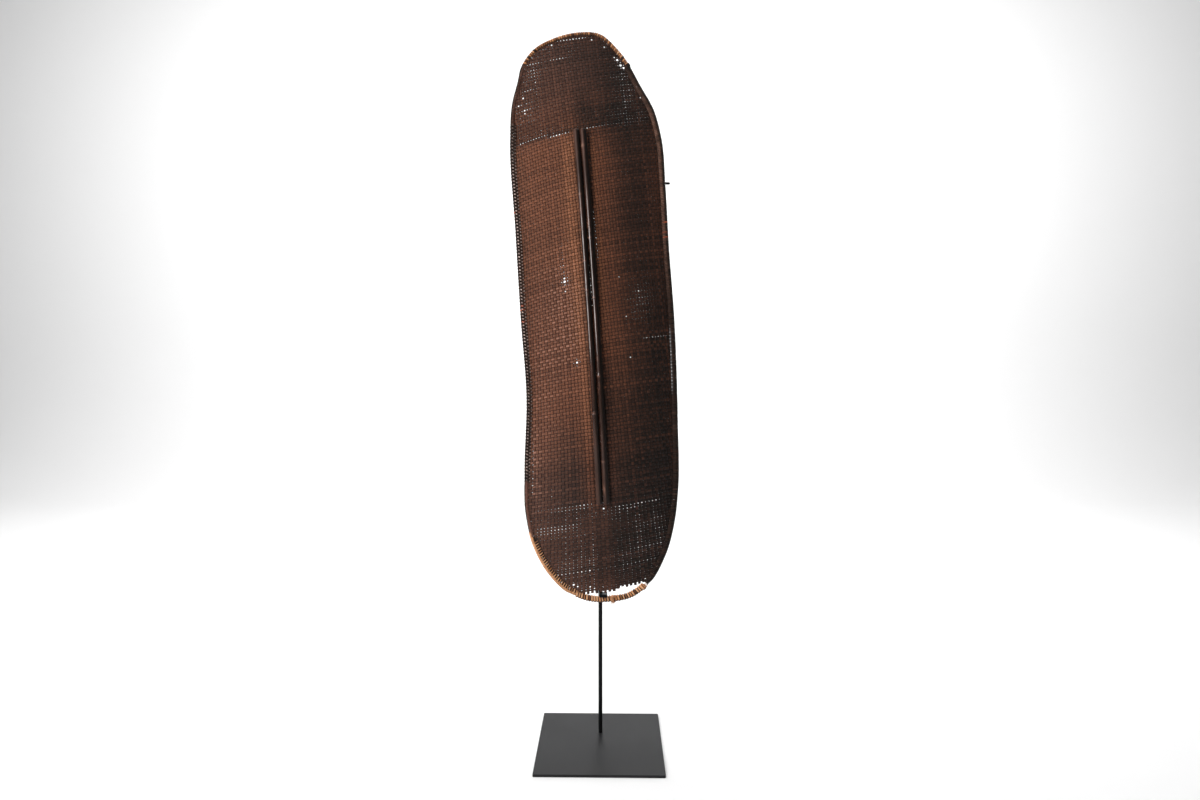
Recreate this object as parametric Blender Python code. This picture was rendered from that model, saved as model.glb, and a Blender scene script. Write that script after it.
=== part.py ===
"""A tall woven cane shield on its steel display stand.

The shield is an oblong sheet of split cane that swells towards the viewer, with a cane hoop bound
round its edge and two stout canes side by side down its face. It leans a few degrees to the left.
Its lower edge sits on a small lug and its sides rest on a cross bar, both on an upright rod that
stands on a square steel plate. The foot of the sheet has torn away from the hoop. The sheet is
parted into panels that each bend little, so that the hollow behind it stays open.

Metres, +Z up, the viewer on the -Y side. The origin is the centre of the plate's underside.
The shield is shaped in its own frame (X across, Z along its length, -Y proud of the hoop) and is
hung on one empty that gives it its place and its lean.
"""

from math import atan2, ceil, cos, pi, radians, sin

import bmesh
import bpy
import numpy as np
from mathutils import Matrix, Vector

# Clearance between pieces that touch
TOUCH = 0.0003

# Stand
PLATE_SIDE = 0.300
PLATE_THICKNESS = 0.006
PLATE_CORNER_RADIUS = 0.003
PLATE_EDGE_BEVEL = 0.0008
ROD_DIAMETER = 0.010
ROD_BEHIND_CENTRE = 0.048
ROD_ABOVE_BAR = 0.010
BAR_DIAMETER = 0.006
BAR_HEIGHT = 1.358
BAR_PAST_RIGHT_RIM = 0.0115
BAR_SHORT_OF_LEFT_RIM = 0.003
LUG_WIDTH = 0.020
LUG_THICKNESS = 0.0070
LUG_PAST_ROD_CENTRE = 0.0072
LUG_FORWARD_OF_HOOP = 0.014
LUG_EDGE_BEVEL = 0.0008
SHEET_ABOVE_LUG = 0.0025

# Shield as a whole
SHIELD_LENGTH = 1.369
SHIELD_WIDTH = 0.391
SHIELD_LEAN = radians(3.6)
SHIELD_LEFT_OF_ROD = 0.0178
SHIELD_FOOT_HEIGHT = 0.3415
DOME_DEPTH = 0.062
DOME_PEAK_BELOW_MIDDLE = 0.070
DOME_POWER_HEAD = 2.2
DOME_POWER_FOOT = 3.5
DOME_POWER_ACROSS = 2.0
WEAVE_THICKNESS = 0.0045

# Lines that part the sheet: two along it and four across, from its middle
PART_ASIDE = 0.110
PART_BELOW_HEAD = 0.385
PART_ABOVE_MIDDLE = 0.074
PART_BELOW_MIDDLE = 0.277
PART_ABOVE_FOOT = 0.537

# Rim
HOOP_DIAMETER = 0.008
LASHED_DIAMETER = 0.010
BUNDLE_DIAMETER = 0.0145
LASHING_JOINT = 0.001
TEAR_DEPTH = 0.010

# Places along the rim, as shares of the way round clockwise from the head
HEAD_BINDING = (-0.0534, 0.0475)
HOOP_BREAK = (0.4590, 0.4612)
BUNDLE = (0.4612, 0.5212)
BARE_HOOP_END = 0.5827
TORN_STRETCH = (0.4630, 0.5125)
TEAR_MIDDLE = 0.4790
TEAR_HALF_RUN = 0.0130
TORN_EASE = 0.0045
BUNDLE_EASE = 0.0060
PLAIN_SIDE = 0.25

# Canes down the face
CANE_DIAMETER = 0.0145
CANE_ABOVE_MIDDLE = 0.445
CANE_BELOW_MIDDLE = 0.432
CANE_BOW = 0.004
CANE_NODE_SWELL = 1.07
CANE_NODE_RUN = 0.006
LEFT_CANE_NODES = (0.217, 0.502, 0.570, 0.724)
RIGHT_CANE_NODES = (0.102, 0.302, 0.484, 0.622, 0.836)

# Fineness of the solids
END_SPACING = 0.0205
SIDE_SPACING = 0.052
SIDE_SHARE = 0.62
TUBE_SIDES = 8
CENTRE_CELLS = 6
SIDE_CELLS = 3
END_SIDE_CELLS = 7
CANE_POINTS = 22
ROD_SIDES = 24
BAR_SIDES = 16
BAR_END_RINGS = 4
RIM_SAMPLES = 4000
CREASE_ANGLE = radians(40.0)

# Outline of the rim, clockwise from the head: shares of the half width and of the half length,
# measured from the line of the face canes. The right side runs straighter than the left, which
# is waisted above its middle and swells low down.
RIM_SHAPE = (
    (0.072, 0.998), (0.282, 0.990), (0.528, 0.924), (0.769, 0.796), (0.895, 0.723),
    (0.974, 0.621), (0.991, 0.453), (0.991, 0.234), (1.005, 0.000), (0.974, -0.380),
    (0.933, -0.606), (0.867, -0.722), (0.728, -0.844), (0.446, -0.960), (0.256, -0.992),
    (0.000, -1.002), (-0.277, -0.995), (-0.538, -0.958), (-0.759, -0.886), (-0.923, -0.786),
    (-0.997, -0.657), (-0.974, -0.519), (-0.885, -0.248), (-0.890, 0.019), (-0.883, 0.336),
    (-0.872, 0.646), (-0.815, 0.774), (-0.733, 0.844), (-0.682, 0.891), (-0.523, 0.948),
    (-0.231, 0.986),
)
WAIST_REACH = 0.65

CANE_BROWN = (0.150, 0.070, 0.040, 1.0)
DARK_CANE = (0.045, 0.028, 0.020, 1.0)
LASHING_BROWN = (0.060, 0.035, 0.025, 1.0)
WORN_TAN = (0.420, 0.190, 0.080, 1.0)
STEEL_BLACK = (0.012, 0.012, 0.013, 1.0)
PLATE_GREY = (0.065, 0.065, 0.070, 1.0)


def clear_scene():
    """Remove what the opened file holds."""
    for thing in list(bpy.data.objects):
        bpy.data.objects.remove(thing, do_unlink=True)


def finish_material(name, colour, roughness, metallic=0.0):
    """One plain Principled finish."""
    material = bpy.data.materials.new(name)
    material.use_nodes = True
    shader = material.node_tree.nodes["Principled BSDF"]
    shader.inputs["Base Color"].default_value = colour
    shader.inputs["Roughness"].default_value = roughness
    shader.inputs["Metallic"].default_value = metallic
    return material


def add_object(name, mesh, material, parent=None, smooth=True):
    """Put a mesh in the scene under its node name, with its own finish."""
    if smooth:
        mesh.shade_smooth()
        mesh.set_sharp_from_angle(angle=CREASE_ANGLE)
    mesh.materials.append(material)
    thing = bpy.data.objects.new(name, mesh)
    bpy.context.collection.objects.link(thing)
    thing.parent = parent
    return thing


def ease(x, start, end):
    """Smooth step from 0 at start to 1 at end."""
    t = np.clip((x - start) / (end - start), 0.0, 1.0)
    return t * t * (3.0 - 2.0 * t)


def window(x, start, end, run):
    """1 between start and end, easing to 0 over a run at each end."""
    return ease(x, start - run / 2, start + run / 2) * (1.0 - ease(x, end - run / 2, end + run / 2))


class Rim:
    """The closed curve of the shield's outer edge, read by the share of the way round."""

    def __init__(self, fineness=200):
        knots = np.array(RIM_SHAPE) * (SHIELD_WIDTH / 2, SHIELD_LENGTH / 2)
        self.points = self.smooth(knots, fineness)
        steps = np.linalg.norm(np.roll(self.points, -1, axis=0) - self.points, axis=1)
        self.length = steps.sum()
        self.shares = np.append(0.0, np.cumsum(steps)) / self.length
        self.closed = np.vstack([self.points, self.points[:1]])

    @staticmethod
    def smooth(knots, fineness):
        """Cubic curve through the knots, with tangents weighted by the chords beside them."""
        before, here, after, beyond = (np.roll(knots, -k, axis=0) for k in (-1, 0, 1, 2))
        chord_in, chord, chord_out = (
            np.linalg.norm(b - a, axis=1)[:, None]
            for a, b in ((before, here), (here, after), (after, beyond)))
        leave = ((here - before) / chord_in * chord + (after - here) / chord * chord_in)
        leave *= chord / (chord_in + chord)
        arrive = ((after - here) / chord * chord_out + (beyond - after) / chord_out * chord)
        arrive *= chord / (chord + chord_out)
        t = (np.arange(fineness) / fineness)[None, :, None]
        curve = ((2 * t**3 - 3 * t**2 + 1) * here[:, None] + (t**3 - 2 * t**2 + t) * leave[:, None]
                 + (3 * t**2 - 2 * t**3) * after[:, None] + (t**3 - t**2) * arrive[:, None])
        return curve.reshape(-1, 2)

    def at(self, shares):
        """Points of the outer edge at the given shares."""
        s = np.mod(shares, 1.0)
        return np.stack([np.interp(s, self.shares, self.closed[:, k]) for k in (0, 1)], axis=-1)

    def outward(self, shares):
        """Unit normals in the hoop's plane, pointing away from the shield."""
        reach = 0.004
        along = self.at(np.asarray(shares) + reach) - self.at(np.asarray(shares) - reach)
        normal = np.stack([-along[..., 1], along[..., 0]], axis=-1)
        return normal / np.linalg.norm(normal, axis=-1, keepdims=True)

    def inset(self, shares, depth):
        """Points at a depth inside the outer edge."""
        return self.at(shares) - self.outward(shares) * np.asarray(depth)[..., None]

    def share_where(self, height, on_right):
        """Share at which the sheet's edge passes a height, on the right or the left side."""
        shares = np.linspace(0.0, 0.5, RIM_SAMPLES) + (0.0 if on_right else 0.5)
        edge = self.inset(shares, panel_depth(shares))
        return shares[np.abs(edge[:, 1] - height).argmin()]


def bundle_share(shares):
    """1 along the thick bundle at the foot, easing to 0 past its left end."""
    s = np.mod(shares, 1.0)
    return window(s, BUNDLE[0] - BUNDLE_EASE, BUNDLE[1] + BUNDLE_EASE, BUNDLE_EASE)


def hoop_depth(shares):
    """Depth of the hoop's middle inside the outer edge, so that what binds it meets that edge."""
    swell = (BUNDLE_DIAMETER - LASHED_DIAMETER) / 2
    return LASHED_DIAMETER / 2 + swell * bundle_share(shares)


def edge_slope():
    """Steepest angle at which the sheet meets the hoop's plane: at the waist of its sides."""
    waist = min(abs(x) for x, z in RIM_SHAPE if abs(z) < WAIST_REACH) * SHIELD_WIDTH / 2
    return atan2(DOME_POWER_ACROSS * DOME_DEPTH, waist)


def panel_depth(shares):
    """Depth of the sheet's edge inside the outer edge: beside the rim, and further where torn."""
    s = np.mod(shares, 1.0)
    beside_rim = LASHED_DIAMETER + TOUCH + WEAVE_THICKNESS / 2 * sin(edge_slope())
    beside_bundle = (BUNDLE_DIAMETER - LASHED_DIAMETER) * bundle_share(shares)
    torn_gap = TOUCH + LUG_THICKNESS + SHEET_ABOVE_LUG
    loose = torn_gap * window(s, *TORN_STRETCH, TORN_EASE)
    from_middle = np.clip((s - TEAR_MIDDLE) / TEAR_HALF_RUN, -1.0, 1.0)
    return beside_rim + beside_bundle + loose + TEAR_DEPTH * np.cos(from_middle * pi / 2) ** 2


class Dome:
    """How far the middle of the sheet stands proud of the hoop's plane."""

    def __init__(self, rim):
        shares = np.linspace(0.0, 1.0, RIM_SAMPLES)
        edge = rim.inset(shares, np.full(shares.shape, panel_depth(PLAIN_SIDE)))
        self.head = edge[:, 1].max()
        self.foot = edge[:, 1].min()
        head_turn, foot_turn = edge[:, 1].argmax(), edge[:, 1].argmin()
        lo, hi = sorted((head_turn, foot_turn))
        one = edge[lo:hi + 1]
        other = np.vstack([edge[hi:], edge[:lo + 1]])
        self.right, self.left = (one, other) if one[:, 0].mean() > 0 else (other, one)

    def half_widths(self, along):
        """Distance from the middle line to the sheet's right and left edge at a height."""
        sides = []
        for side in (self.right, self.left):
            order = np.argsort(side[:, 1])
            sides.append(np.abs(np.interp(along, side[order, 1], side[order, 0])))
        return sides

    def rise(self, across, along):
        """Depth times the fall along the length times the fall across the width."""
        peak = -DOME_PEAK_BELOW_MIDDLE
        to_head = np.clip((along - peak) / (self.head - peak), 0.0, 1.0)
        to_foot = np.clip((peak - along) / (peak - self.foot), 0.0, 1.0)
        crown = 1.0 - to_head**DOME_POWER_HEAD - to_foot**DOME_POWER_FOOT
        right, left = self.half_widths(along)
        half = np.maximum(np.where(across > 0, right, left), 1e-6)
        aside = np.abs(across) / half
        return DOME_DEPTH * crown * (1.0 - aside**DOME_POWER_ACROSS)

    def outward(self, across, along):
        """Unit normals of the sheet's face, from the slope of the rise both ways."""
        reach = WEAVE_THICKNESS / 2
        slope_across = self.rise(across + reach, along) - self.rise(across - reach, along)
        slope_along = self.rise(across, along + reach) - self.rise(across, along - reach)
        normal = np.stack([-slope_across, np.full(across.shape, -2 * reach), -slope_along], axis=-1)
        return normal / np.linalg.norm(normal, axis=-1, keepdims=True)


def rim_stations(rim):
    """Shares at which every rim piece has a section: close at the ends, wide along the sides."""
    fine = np.linspace(0.0, 1.0, RIM_SAMPLES + 1)
    near_end = np.abs(rim.at(fine)[:, 1]) > SIDE_SHARE * SHIELD_LENGTH / 2
    density = np.where(near_end, 1.0 / END_SPACING, 1.0 / SIDE_SPACING)
    steps = (density[1:] + density[:-1]) / 2 * rim.length / RIM_SAMPLES
    count = np.append(0.0, np.cumsum(steps))
    spread = np.interp(np.linspace(0.0, count[-1], ceil(count[-1]), endpoint=False), count, fine)
    joint = LASHING_JOINT / rim.length / 2
    ends = [share + side * joint for share in (*HEAD_BINDING, BUNDLE[1], BARE_HOOP_END)
            for side in (-1, 1)]
    ends += [HOOP_BREAK[0], HOOP_BREAK[1]]
    rows = parting_rows()
    ends += [rim.share_where(row, side) for row in (rows[0], rows[-1]) for side in (True, False)]
    ends = np.mod(np.array(ends), 1.0)
    clear = np.abs(spread[:, None] - ends[None, :])
    clear = np.minimum(clear, 1.0 - clear).min(axis=1) * rim.length
    return np.sort(np.append(spread[clear > END_SPACING / 3], ends))


def parting_rows():
    """Heights of the rows that part the sheet, from the foot up."""
    return (-PART_ABOVE_FOOT, -PART_BELOW_MIDDLE, PART_ABOVE_MIDDLE, PART_BELOW_HEAD)


def stretch(stations, start, end):
    """The stations from start to end, going round past the head where end is over 1."""
    turns = np.concatenate([stations - 1.0, stations, stations + 1.0])
    slack = 1e-9
    return turns[(turns >= start - slack) & (turns <= end + slack)]


def ring_of_points(centres, normals, radius):
    """Polygons round each centre: flats at the radius, square to the normal and to the depth."""
    angles = (np.arange(TUBE_SIDES) + 0.5) * 2 * pi / TUBE_SIDES
    reach = radius / cos(pi / TUBE_SIDES)
    out = np.stack([normals[:, 0], np.zeros(len(normals)), normals[:, 1]], axis=-1)
    middle = np.stack([centres[:, 0], np.zeros(len(centres)), centres[:, 1]], axis=-1)
    depth = np.array([0.0, -1.0, 0.0])
    return (middle[:, None] + reach * np.cos(angles)[None, :, None] * out[:, None]
            + reach * np.sin(angles)[None, :, None] * depth)


def bridge_rings(bm, rings):
    """Skin between each polygon and the next."""
    for lower, upper in zip(rings, rings[1:]):
        for k in range(len(lower)):
            n = (k + 1) % len(lower)
            bm.faces.new((lower[k], lower[n], upper[n], upper[k]))


def mesh_from(bm, name):
    """Finish a bmesh: outward faces, then a mesh."""
    bmesh.ops.recalc_face_normals(bm, faces=bm.faces)
    mesh = bpy.data.meshes.new(name)
    bm.to_mesh(mesh)
    bm.free()
    return mesh


def rim_tube(name, rim, shares, outer, inner, material, parent):
    """A rod along the rim, or a sleeve round the hoop where it has an inner radius."""
    centres = rim.inset(shares, hoop_depth(shares))
    normals = rim.outward(shares)
    bm = bmesh.new()
    skins = [[[bm.verts.new(p) for p in ring] for ring in ring_of_points(centres, normals, radius)]
             for radius in (outer, inner) if radius]
    for skin in skins:
        bridge_rings(bm, skin)
    for end in (0, -1):
        if inner:
            bridge_rings(bm, [skins[0][end], skins[1][end]])
        else:
            bm.faces.new(skins[0][end])
    return add_object(name, mesh_from(bm, name), material, parent)


def between(start, end, count):
    """Evenly spaced points on the straight line from start to end."""
    step = np.linspace(0.0, 1.0, count)[:, None]
    return np.asarray(start) * (1.0 - step) + np.asarray(end) * step


def patch(bottom, top, left, right):
    """Points that fill four edges: the two straight blends of opposite edges, less their corners."""
    s = np.linspace(0.0, 1.0, len(bottom))[None, :, None]
    t = np.linspace(0.0, 1.0, len(left))[:, None, None]
    up = bottom[None] * (1.0 - t) + top[None] * t
    over = left[:, None] * (1.0 - s) + right[:, None] * s
    low = bottom[0] * (1.0 - s) + bottom[-1] * s
    high = top[0] * (1.0 - s) + top[-1] * s
    return up + over - (low * (1.0 - t) + high * t)


def panel(name, dome, points, material, parent):
    """A closed slab of the sheet over a grid of points: its face, its back and its four walls."""
    across, along = points[..., 0], points[..., 1]
    middle = np.stack([across, -dome.rise(across, along), along], axis=-1)
    half = dome.outward(across, along) * WEAVE_THICKNESS / 2
    bm = bmesh.new()
    face, back = ([[bm.verts.new(point) for point in row] for row in skin]
                  for skin in (middle + half, middle - half))
    for skin in (face, back):
        for low, high in zip(skin, skin[1:]):
            for k in range(len(low) - 1):
                bm.faces.new((low[k], low[k + 1], high[k + 1], high[k]))
    borders = [[skin[0], [row[-1] for row in skin], skin[-1], [row[0] for row in skin]]
               for skin in (face, back)]
    for front_edge, back_edge in zip(*borders):
        for k in range(len(front_edge) - 1):
            bm.faces.new((front_edge[k], front_edge[k + 1], back_edge[k + 1], back_edge[k]))
    return add_object(name, mesh_from(bm, name), material, parent)


def end_panel(name, rim, dome, run, row, material, parent):
    """The head or foot of the sheet: the rim makes three edges and a straight row the fourth."""
    edge = rim.inset(run, panel_depth(run))
    edge[[0, -1], 1] = row
    sides = END_SIDE_CELLS + 1
    far = edge[END_SIDE_CELLS:-END_SIDE_CELLS]
    near = between(edge[0], edge[-1], len(far))
    return panel(name, dome, patch(near, far, edge[:sides], edge[::-1][:sides]), material, parent)


def side_panel(name, rim, dome, run, aside, rows, material, parent):
    """A long side of the sheet, from the rim in to a line beside the canes."""
    edge = rim.inset(run, panel_depth(run))
    edge[[0, -1], 1] = rows
    inner = between((aside, rows[0]), (aside, rows[1]), len(edge))
    cells = SIDE_CELLS + 1
    first = between(edge[0], inner[0], cells)
    last = between(edge[-1], inner[-1], cells)
    return panel(name, dome, patch(edge, inner, first, last), material, parent)


def centre_panel(name, dome, low, high, material, parent):
    """A stretch of the middle of the sheet, under the canes."""
    aside = PART_ASIDE - TOUCH / 2
    cells = ceil((high - low) / SIDE_SPACING) + 1
    left, right = (between((x, low), (x, high), cells) for x in (-aside, aside))
    ends = [between((-aside, z), (aside, z), CENTRE_CELLS + 1) for z in (low, high)]
    return panel(name, dome, patch(*ends, left, right), material, parent)


def woven_panels(rim, dome, stations, material, parent):
    """The sheet, parted by a hair along two lines and across four rows."""
    gap = TOUCH / 2
    rows = parting_rows()
    foot_row, head_row = rows[0], rows[-1]
    right_high, left_high = (rim.share_where(head_row, side) for side in (True, False))
    right_low, left_low = (rim.share_where(foot_row, side) for side in (True, False))
    head = stretch(stations, left_high - 1.0, right_high)
    end_panel("panel_head", rim, dome, head, head_row + gap, material, parent)
    foot = stretch(stations, right_low, left_low)
    end_panel("panel_foot", rim, dome, foot, foot_row - gap, material, parent)
    aside = PART_ASIDE + gap
    right = stretch(stations, right_high, right_low)
    side_panel("panel_right", rim, dome, right, aside, (head_row - gap, foot_row + gap),
               material, parent)
    left = stretch(stations, left_low, left_high)
    side_panel("panel_left", rim, dome, left, -aside, (foot_row + gap, head_row - gap),
               material, parent)
    for place, low, high in zip(("low", "middle", "high"), rows, rows[1:]):
        centre_panel("panel_centre_" + place, dome, low + gap, high - gap, material, parent)


def face_cane(name, dome, side, node_heights, material, parent):
    """A cane lying on the ridge of the sheet, thicker at its nodes, which go by height from its foot."""
    radius = CANE_DIAMETER / 2
    along = list(np.linspace(-CANE_BELOW_MIDDLE, CANE_ABOVE_MIDDLE, CANE_POINTS))
    nodes = [height - CANE_BELOW_MIDDLE for height in node_heights]
    for node in nodes:
        along = [z for z in along if abs(z - node) > 2 * CANE_NODE_RUN]
        along += [node - CANE_NODE_RUN, node, node + CANE_NODE_RUN]
    along = np.sort(np.array(along))
    middle = (CANE_ABOVE_MIDDLE - CANE_BELOW_MIDDLE) / 2
    half = (CANE_ABOVE_MIDDLE + CANE_BELOW_MIDDLE) / 2
    bow = CANE_BOW * (1.0 - ((along - middle) / half) ** 2) - CANE_BOW / 2
    beside = radius * CANE_NODE_SWELL + TOUCH / 2
    across = bow + side * beside
    lift = WEAVE_THICKNESS / 2 + TOUCH + radius * CANE_NODE_SWELL
    rise = dome.rise(bow, along) + lift / cos(foot_slope(dome))
    spline_points = np.stack([across, -rise, along, np.ones(len(along))], axis=-1)
    curve = bpy.data.curves.new(name, "CURVE")
    curve.dimensions = "3D"
    curve.bevel_depth = radius
    curve.bevel_resolution = 2
    curve.use_fill_caps = True
    spline = curve.splines.new("POLY")
    spline.points.add(len(along) - 1)
    spline.points.foreach_set("co", spline_points.ravel())
    swell = [CANE_NODE_SWELL if min(abs(z - n) for n in nodes) < 1e-9 else 1.0 for z in along]
    spline.points.foreach_set("radius", swell)
    spline.use_smooth = True
    curve.materials.append(material)
    cane = bpy.data.objects.new(name, curve)
    bpy.context.collection.objects.link(cane)
    cane.parent = parent
    return cane


def foot_slope(dome):
    """Angle of the ridge where the canes end at the foot."""
    step = 0.002
    ends = dome.rise(np.zeros(2), np.array([0.0, step]) - CANE_BELOW_MIDDLE)
    return atan2(float(ends[1] - ends[0]), step)


def base_plate(material):
    """Square steel plate with rounded corners and a broken edge."""
    bm = bmesh.new()
    half = PLATE_SIDE / 2
    bmesh.ops.create_cube(bm, size=1.0)
    bmesh.ops.scale(bm, vec=(PLATE_SIDE, PLATE_SIDE, PLATE_THICKNESS), verts=bm.verts)
    bmesh.ops.translate(bm, vec=(0.0, 0.0, PLATE_THICKNESS / 2), verts=bm.verts)
    corners = [e for e in bm.edges if all(abs(abs(v.co.x) - half) < 1e-6 for v in e.verts)
               and abs(e.verts[0].co.z - e.verts[1].co.z) > PLATE_THICKNESS / 2]
    bmesh.ops.bevel(bm, geom=corners, offset=PLATE_CORNER_RADIUS, segments=3, profile=0.5,
                    affect="EDGES")
    top = [e for e in bm.edges if all(v.co.z > PLATE_THICKNESS - 1e-6 for v in e.verts)]
    bmesh.ops.bevel(bm, geom=top, offset=PLATE_EDGE_BEVEL, segments=2, profile=0.5,
                    affect="EDGES")
    return add_object("base_plate", mesh_from(bm, "base_plate"), material)


def upright_rod(material):
    """Round rod from the plate to just above the cross bar, with a broken top edge."""
    foot = PLATE_THICKNESS + TOUCH
    height = BAR_HEIGHT + ROD_ABOVE_BAR - foot
    bm = bmesh.new()
    bmesh.ops.create_cone(bm, cap_ends=True, segments=ROD_SIDES, radius1=ROD_DIAMETER / 2,
                          radius2=ROD_DIAMETER / 2, depth=height)
    bmesh.ops.translate(bm, vec=(0.0, ROD_BEHIND_CENTRE, foot + height / 2), verts=bm.verts)
    top = [e for e in bm.edges if all(v.co.z > foot + height - 1e-6 for v in e.verts)]
    bmesh.ops.bevel(bm, geom=top, offset=PLATE_EDGE_BEVEL, segments=2, profile=0.5,
                    affect="EDGES")
    return add_object("upright_rod", mesh_from(bm, "upright_rod"), material)


def bar_behind():
    """Y of the cross bar's middle: it is fixed to the front of the rod."""
    return ROD_BEHIND_CENTRE - ROD_DIAMETER / 2 - TOUCH - BAR_DIAMETER / 2


def hoop_behind():
    """Y of the hoop's plane: its lashing leans on the cross bar."""
    return bar_behind() - BAR_DIAMETER / 2 - TOUCH - LASHED_DIAMETER / 2


def shield_matrix(rim):
    """Place and lean of the shield: its lowest point at the foot height."""
    turn = Matrix.Rotation(-SHIELD_LEAN, 4, "Y")
    lowest = (rim.points @ np.array([sin(SHIELD_LEAN), cos(SHIELD_LEAN)])).min()
    place = Vector((-SHIELD_LEFT_OF_ROD, hoop_behind(), SHIELD_FOOT_HEIGHT - float(lowest)))
    return Matrix.Translation(place) @ turn


def rim_in_world(rim, matrix, shares, depth):
    """X and Z in the world of points at a depth inside the rim."""
    flat = rim.inset(shares, depth)
    solid = np.stack([flat[:, 0], np.zeros(len(flat)), flat[:, 1], np.ones(len(flat))], axis=-1)
    world = solid @ np.array(matrix).T
    return world[:, 0], world[:, 2]


def cross_bar(rim, matrix, material):
    """Bar behind both sides of the rim, with round ends. The right one shows past the rim."""
    shares = np.linspace(0.0, 1.0, RIM_SAMPLES)
    x, z = rim_in_world(rim, matrix, shares, np.zeros(shares.shape))
    near = np.abs(z - BAR_HEIGHT) < BAR_DIAMETER / 2
    left = x[near & (x < 0)].min() + BAR_SHORT_OF_LEFT_RIM
    right = x[near & (x > 0)].max() + BAR_PAST_RIGHT_RIM
    radius = BAR_DIAMETER / 2
    bend = np.linspace(0.0, pi / 2, BAR_END_RINGS)
    stops = np.concatenate([left + radius * (1 - np.cos(bend)), right - radius * (1 - np.sin(bend))])
    radii = np.concatenate([radius * np.sin(bend), radius * np.cos(bend)])
    angles = np.arange(BAR_SIDES) * 2 * pi / BAR_SIDES
    bm = bmesh.new()
    rings = [[bm.verts.new((stop, bar_behind() + r * cos(a), BAR_HEIGHT + r * sin(a))) for a in angles]
             for stop, r in zip(stops[1:-1], radii[1:-1])]
    bridge_rings(bm, rings)
    for ring, tip in ((rings[0], left), (rings[-1], right)):
        point = bm.verts.new((tip, bar_behind(), BAR_HEIGHT))
        for k in range(BAR_SIDES):
            bm.faces.new((ring[k], ring[(k + 1) % BAR_SIDES], point))
    return add_object("cross_bar", mesh_from(bm, "cross_bar"), material)


def rest_lug(rim, matrix, material):
    """Flat lug through the gap above the foot bundle, under the torn edge of the sheet."""
    left = LUG_PAST_ROD_CENTRE - LUG_WIDTH / 2
    right = LUG_PAST_ROD_CENTRE + LUG_WIDTH / 2
    shares = np.linspace(*TORN_STRETCH, RIM_SAMPLES)
    x, z = rim_in_world(rim, matrix, shares, hoop_depth(shares))
    over = (x > left) & (x < right)
    under_face = z[over].max() + BUNDLE_DIAMETER / 2 + TOUCH
    back = ROD_BEHIND_CENTRE - ROD_DIAMETER / 2 - TOUCH
    front = hoop_behind() - LUG_FORWARD_OF_HOOP
    bm = bmesh.new()
    bmesh.ops.create_cube(bm, size=1.0)
    bmesh.ops.scale(bm, vec=(LUG_WIDTH, back - front, LUG_THICKNESS), verts=bm.verts)
    middle = (LUG_PAST_ROD_CENTRE, (back + front) / 2, under_face + LUG_THICKNESS / 2)
    bmesh.ops.translate(bm, vec=middle, verts=bm.verts)
    bmesh.ops.bevel(bm, geom=bm.edges[:], offset=LUG_EDGE_BEVEL, segments=1, affect="EDGES")
    return add_object("rest_lug", mesh_from(bm, "rest_lug"), material)


def main():
    clear_scene()
    steel = finish_material("black_steel", STEEL_BLACK, 0.45, 0.6)
    plate_paint = finish_material("satin_plate", PLATE_GREY, 0.35, 0.5)
    weave = finish_material("brown_weave", CANE_BROWN, 0.60)
    dark = finish_material("polished_cane", DARK_CANE, 0.30)
    lashing = finish_material("brown_lashing", LASHING_BROWN, 0.55)
    tan_cane = finish_material("worn_cane", WORN_TAN, 0.50)

    rim = Rim()
    dome = Dome(rim)
    matrix = shield_matrix(rim)
    hanger = bpy.data.objects.new("shield_place", None)
    hanger.matrix_world = matrix
    bpy.context.collection.objects.link(hanger)

    stations = rim_stations(rim)
    joint = LASHING_JOINT / rim.length / 2
    hoop_radius = HOOP_DIAMETER / 2
    bore = hoop_radius + TOUCH
    lashed = LASHED_DIAMETER / 2
    woven_panels(rim, dome, stations, weave, hanger)
    hoop_run = stretch(stations, HOOP_BREAK[1], 1.0 + HOOP_BREAK[0])
    rim_tube("rim_hoop", rim, hoop_run, hoop_radius, None, tan_cane, hanger)
    head = stretch(stations, HEAD_BINDING[0] + joint, HEAD_BINDING[1] - joint)
    rim_tube("head_binding", rim, head, lashed, bore, tan_cane, hanger)
    right = stretch(stations, HEAD_BINDING[1] + joint, HOOP_BREAK[0])
    rim_tube("right_lashing", rim, right, lashed, bore, lashing, hanger)
    foot = stretch(stations, BUNDLE[0], BUNDLE[1] - joint)
    rim_tube("foot_binding", rim, foot, BUNDLE_DIAMETER / 2, bore, tan_cane, hanger)
    left = stretch(stations, BARE_HOOP_END + joint, 1.0 + HEAD_BINDING[0] - joint)
    rim_tube("left_lashing", rim, left, lashed, bore, lashing, hanger)
    face_cane("left_face_cane", dome, -1, LEFT_CANE_NODES, dark, hanger)
    face_cane("right_face_cane", dome, 1, RIGHT_CANE_NODES, dark, hanger)

    base_plate(plate_paint)
    upright_rod(steel)
    cross_bar(rim, matrix, steel)
    rest_lug(rim, matrix, steel)


main()
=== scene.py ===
"""Looks of a tall woven cane shield on its steel display stand.

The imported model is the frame: hoop, sheet, canes and stand stand where it has them. Here the sheet
is really woven from warps and wefts, the bindings are wound strip by strip, and every surface gets
its finish. Metres, +Z up, the viewer on the -Y side.

The shield is worked out in its own frame, as points (across, proud, along), and put in the room by
its place and its lean.
"""

from math import atan2, cos, pi, radians, sin

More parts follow.
